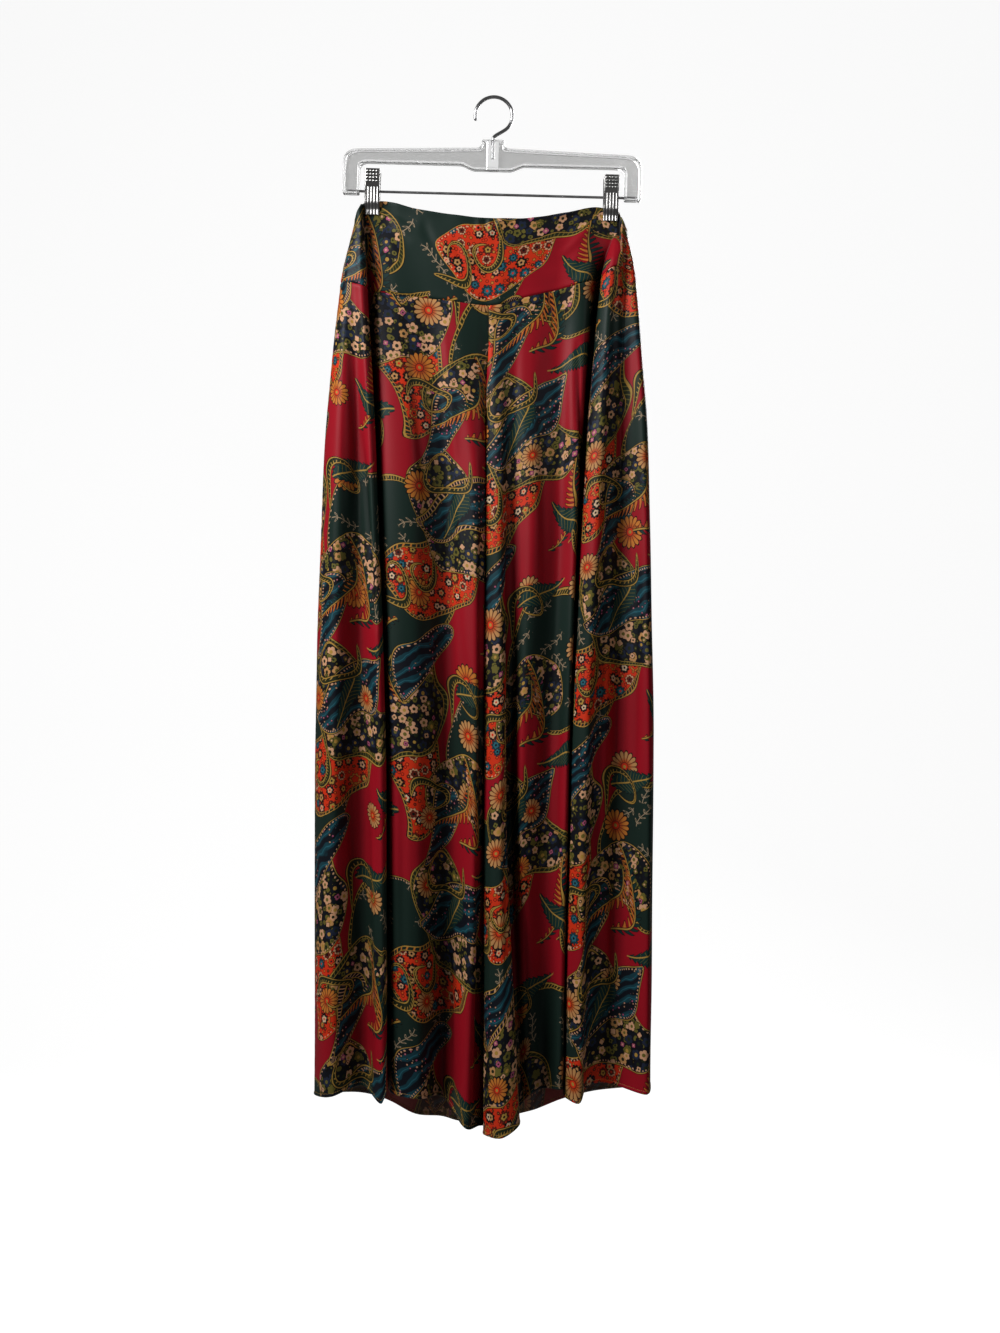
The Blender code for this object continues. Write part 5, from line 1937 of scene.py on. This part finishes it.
@dataclass
class ClipJaw(HardPiece):
    """One pressed jaw: dimples above, grooves below, a toothed lip, turned-in sides and two ears."""

    node: str
    across: float  # of its middle
    facing: int  # -1 is the front jaw
    plate: float = 0.9
    turn: float = 1.5  # radius of its turned-in sides
    flange: float = 2.6  # how deep the sides reach
    dimple_pitch: float = 3.7
    dimple_rows: int = 4
    dimple_top: float = -92.6
    dimple: float = 0.55  # height of a dimple
    dimple_radius: float = 1.05
    groove: float = 0.55  # depth of a groove
    groove_half: float = 0.62  # half its width
    groove_top: float = -109.0
    tooth: float = 1.0
    lip_inside: float = 1.9  # from the middle plane
    ear: float = 1.2
    ear_inset: float = 0.2
    ear_round: float = 1.2

    face_heights = (89.5, 114.0, 128.0, 137.0, 142.5)
    face_depths = (10.2, 7.2, 6.0, 3.1, 3.1)
    ear_corners = ((8.2, -102), (-1.6, -110.2), (-3.3, -112), (-3.3, -116), (-1.6, -117.8), (6.2, -125))

    def plate_points(self) -> tuple[Array, Array]:
        """The pressed plate's outer and inner surfaces.

        Returns:
            Two grids of rows down the jaw, of points.
        """
        half = CLIP_WIDTH / 2 - 0.05
        heights = -np.linspace(self.face_heights[0], self.face_heights[-1], 107)
        depth = smooth_curve(self.face_heights, self.face_depths, -heights)
        bend = np.linspace(0, pi / 2, 6)
        flat_half = half - self.turn
        face = np.linspace(-flat_half, flat_half, 53)
        side_x = flat_half + self.turn * np.sin(bend)[1:]
        side_in = self.turn * (1 - np.cos(bend))[1:]
        x = np.concatenate([[-half], -side_x[::-1], face, side_x, [half]])
        reach = np.minimum(self.flange, depth - self.lip_inside)[:, None]
        inset = np.concatenate([[self.flange], side_in[::-1], np.zeros(len(face)), side_in, [self.flange]])
        out = depth[:, None] - np.minimum(inset, reach) + self.pressing(x, heights)
        lift = self.tooth * (0.5 - 0.5 * np.cos(2 * pi * x / self.dimple_pitch))
        low = ease((self.face_heights[-1] + heights - 3.0) / -3.0)
        height = heights[:, None] + lift * low[:, None]
        outer = np.stack([np.broadcast_to(x, out.shape), out, height], axis=-1)
        along, down = np.gradient(outer, axis=1), np.gradient(outer, axis=0)
        normal = np.cross(down, along)
        normal[:, 0], normal[:, -1] = normal[:, 1], normal[:, -2]
        normal /= np.linalg.norm(normal, axis=2, keepdims=True)
        normal *= np.sign(normal[:, len(x) // 2, 1])[:, None, None]
        return outer, outer - normal * self.plate

    def pressing(self, x: Array, heights: Array) -> Array:
        """How far the pressed dimples and grooves stand off the plate."""
        relief = np.zeros((len(heights), len(x)))
        for column in (-1.5, -0.5, 0.5, 1.5):
            middle = column * self.dimple_pitch
            for row in range(self.dimple_rows):
                away = np.hypot(x - middle, heights[:, None] - self.dimple_top + row * self.dimple_pitch)
                relief += self.dimple * np.exp(-(away / self.dimple_radius)**4)
            length = ease((self.groove_top - heights) / 1.5)[:, None]
            relief -= self.groove * length * np.exp(-((x - middle) / self.groove_half)**2)
        return relief

    def ears(self) -> list[Shape]:
        """The two ears that the rod passes through."""
        inset = self.ear_inset if self.facing < 0 else self.ear_inset + self.ear + RUNNING_GAP
        corners = np.array([(-depth, height, self.ear_round) for depth, height in self.ear_corners])
        if self.facing > 0:
            corners = mirrored(corners)
        bodies = []
        for side in (-1, 1):
            outer = self.across + side * (CLIP_WIDTH / 2 - inset)
            inner = outer - side * self.ear
            bodies.append(slab(corners, chamfered(outer, inner, 0.15), "X"))
        return bodies

    def build(self) -> None:
        """Press the jaw."""
        vertices, faces = shell(*self.plate_points())
        plate = vertices * (1, self.facing, 1) + (self.across, 0, 0)
        thing = hard_object(self.node + "_jaw", several([(plate, faces), *self.ears()]), 50)
        hang(thing, self.finishes.clip, self.node)


@dataclass
class ClipSpring(HardPiece):
    """The coil round the rod that shuts a clip."""

    node: str
    across: float
    wire: float = 0.6
    radius: float = 2.8
    turns: int = 4
    length: float = 11.8
    per_turn: int = 20

    def build(self) -> None:
        """Wind the spring."""
        share = np.linspace(0, 1, self.turns * self.per_turn + 1)
        angle = share * self.turns * 2 * pi
        path = np.stack([self.across + (share - 0.5) * self.length, self.radius * np.cos(angle),
                         ROD_HEIGHT + self.radius * np.sin(angle)], axis=1)
        coil = hard_object(self.node + "_coil", tube(path, self.wire, 8))
        hang(coil, self.finishes.steel, self.node)


class Hanger:
    """The clear hanger: its bar, hook, rod and two clips."""

    def build(self, finishes: Finishes) -> None:
        """Make every hard piece.

        Args:
            finishes: the part's materials.
        """
        for kind in (ClearBar, Hook, ClipRod):
            kind(finishes).build()
        for side, clip in ((-1, "clip_left"), (1, "clip_right")):
            for facing, face in ((-1, "front"), (1, "back")):
                ClipJaw(finishes, f"{clip}_{face}", side * CLIP_ACROSS, facing).build()
            ClipSpring(finishes, f"{clip}_spring", side * CLIP_ACROSS).build()


# ---- the scene ----
@dataclass
class Studio:
    """The camera, the soft lights and the pale sweep behind and under the part."""

    camera_place: Triple = (0.0068, -1.8, -0.6741)
    lens: float = 40.95
    floor: float = -1.62
    softbox: Pair = (0.6, 0.9)  # width and height of a light
    fill: float = 0.02  # how much light comes from all round
    gloss: float = 0.10  # how bright the surround is in reflections
    through: float = 0.75  # how bright it is through clear plastic
    paper_glow: float = 0.90  # how bright the paper looks by itself

    def build(self) -> None:
        """Set up the studio."""
        self.add_camera()
        self.add_sweep()
        self.add_light("left softbox", (-1.25, -0.85, 0.45), -0.3, 34.5)
        self.add_light("right softbox", (1.2, -1.2, 0.4), -0.3, 4.4)
        self.add_light("back softbox", (0.8, 1.5, 0.4), -0.5, 24.0)
        self.add_world()
        bpy.context.scene.view_settings.view_transform = "Standard"

    def add_world(self) -> None:
        """A white surround as the camera sees it, which hardly lights the part."""
        world = bpy.data.worlds.new("studio")
        bpy.context.scene.world = world
        world.use_nodes = True
        graph = Graph(world.node_tree)
        seen, reflected, refracted = graph.rays("Is Camera Ray", "Is Glossy Ray", "Is Transmission Ray")
        lit = graph.math("MAXIMUM", reflected * self.gloss, refracted * self.through)
        strength = graph.math("MAXIMUM", seen, graph.math("MAXIMUM", lit, self.fill))
        graph.fill(world.node_tree.nodes["Background"], Strength=strength, Color=WHITE)

    def add_camera(self) -> None:
        """The camera, level and square to the garment."""
        data = bpy.data.cameras.new("camera")
        data.lens = self.lens
        data.sensor_fit = "VERTICAL"
        data.sensor_height = 36.0
        data.clip_start = 0.05
        camera = linked("camera", data)
        camera.location = self.camera_place
        camera.rotation_euler = (pi / 2, 0, 0)
        bpy.context.scene.camera = camera

    def add_sweep(self) -> None:
        """The pale floor that curves up into a backdrop."""
        radius, back, front, half, top = 0.8, 2.6, -4.0, 1.9, 2.2
        profile = [(front, self.floor)]
        for step in range(13):
            angle = pi / 2 * step / 12
            profile.append((back - radius + radius * sin(angle), self.floor + radius * (1 - cos(angle))))
        profile.append((back, top))
        vertices = [(x / MM, y / MM, z / MM) for y, z in profile for x in (-half, half)]
        faces = [(2 * i, 2 * i + 1, 2 * i + 3, 2 * i + 2) for i in range(len(profile) - 1)]
        sweep = new_object("sweep", vertices, faces)
        material, graph, shader = new_material("pale paper", (0.86, 0.86, 0.86, 1.0))
        grain = graph.noise(graph.wire("TexCoord", socket="Object"), 40.0, 4.0)
        seen = graph.math("MAXIMUM", *graph.rays("Is Camera Ray", "Is Transmission Ray"))
        paper = graph.mix(grain * 0.06, (0.3, 0.3, 0.3, 1.0), (0.25, 0.25, 0.25, 1.0))
        graph.fill(shader, Base_Color=paper, Roughness=0.9, Emission_Strength=seen * self.paper_glow,
                   Emission_Color=WHITE)
        sweep.data.materials.append(material)

    def add_light(self, name: str, place: Triple, aim: float, power: float) -> None:
        """Add a soft light.

        Args:
            name: the light's name.
            place: where it stands.
            aim: the height on the middle axis that it points at.
            power: its power in watts.
        """
        data = bpy.data.lights.new(name, "AREA")
        data.shape = "RECTANGLE"
        data.size, data.size_y = self.softbox
        data.energy = power
        light = linked(name, data)
        light.location = place
        light.rotation_euler = (Vector((0.0, 0.0, aim)) - Vector(place)).to_track_quat("-Z", "Y").to_euler()


def main() -> None:
    """Build the studio and every piece of the part."""
    logging.basicConfig(level=logging.INFO, format="%(name)s: %(message)s")
    Studio().build()
    finishes = Finishes()
    Garment().build(finishes)
    log.info("garment built")
    Hanger().build(finishes)
    log.info("hanger built")


if __name__ == "__main__":
    main()
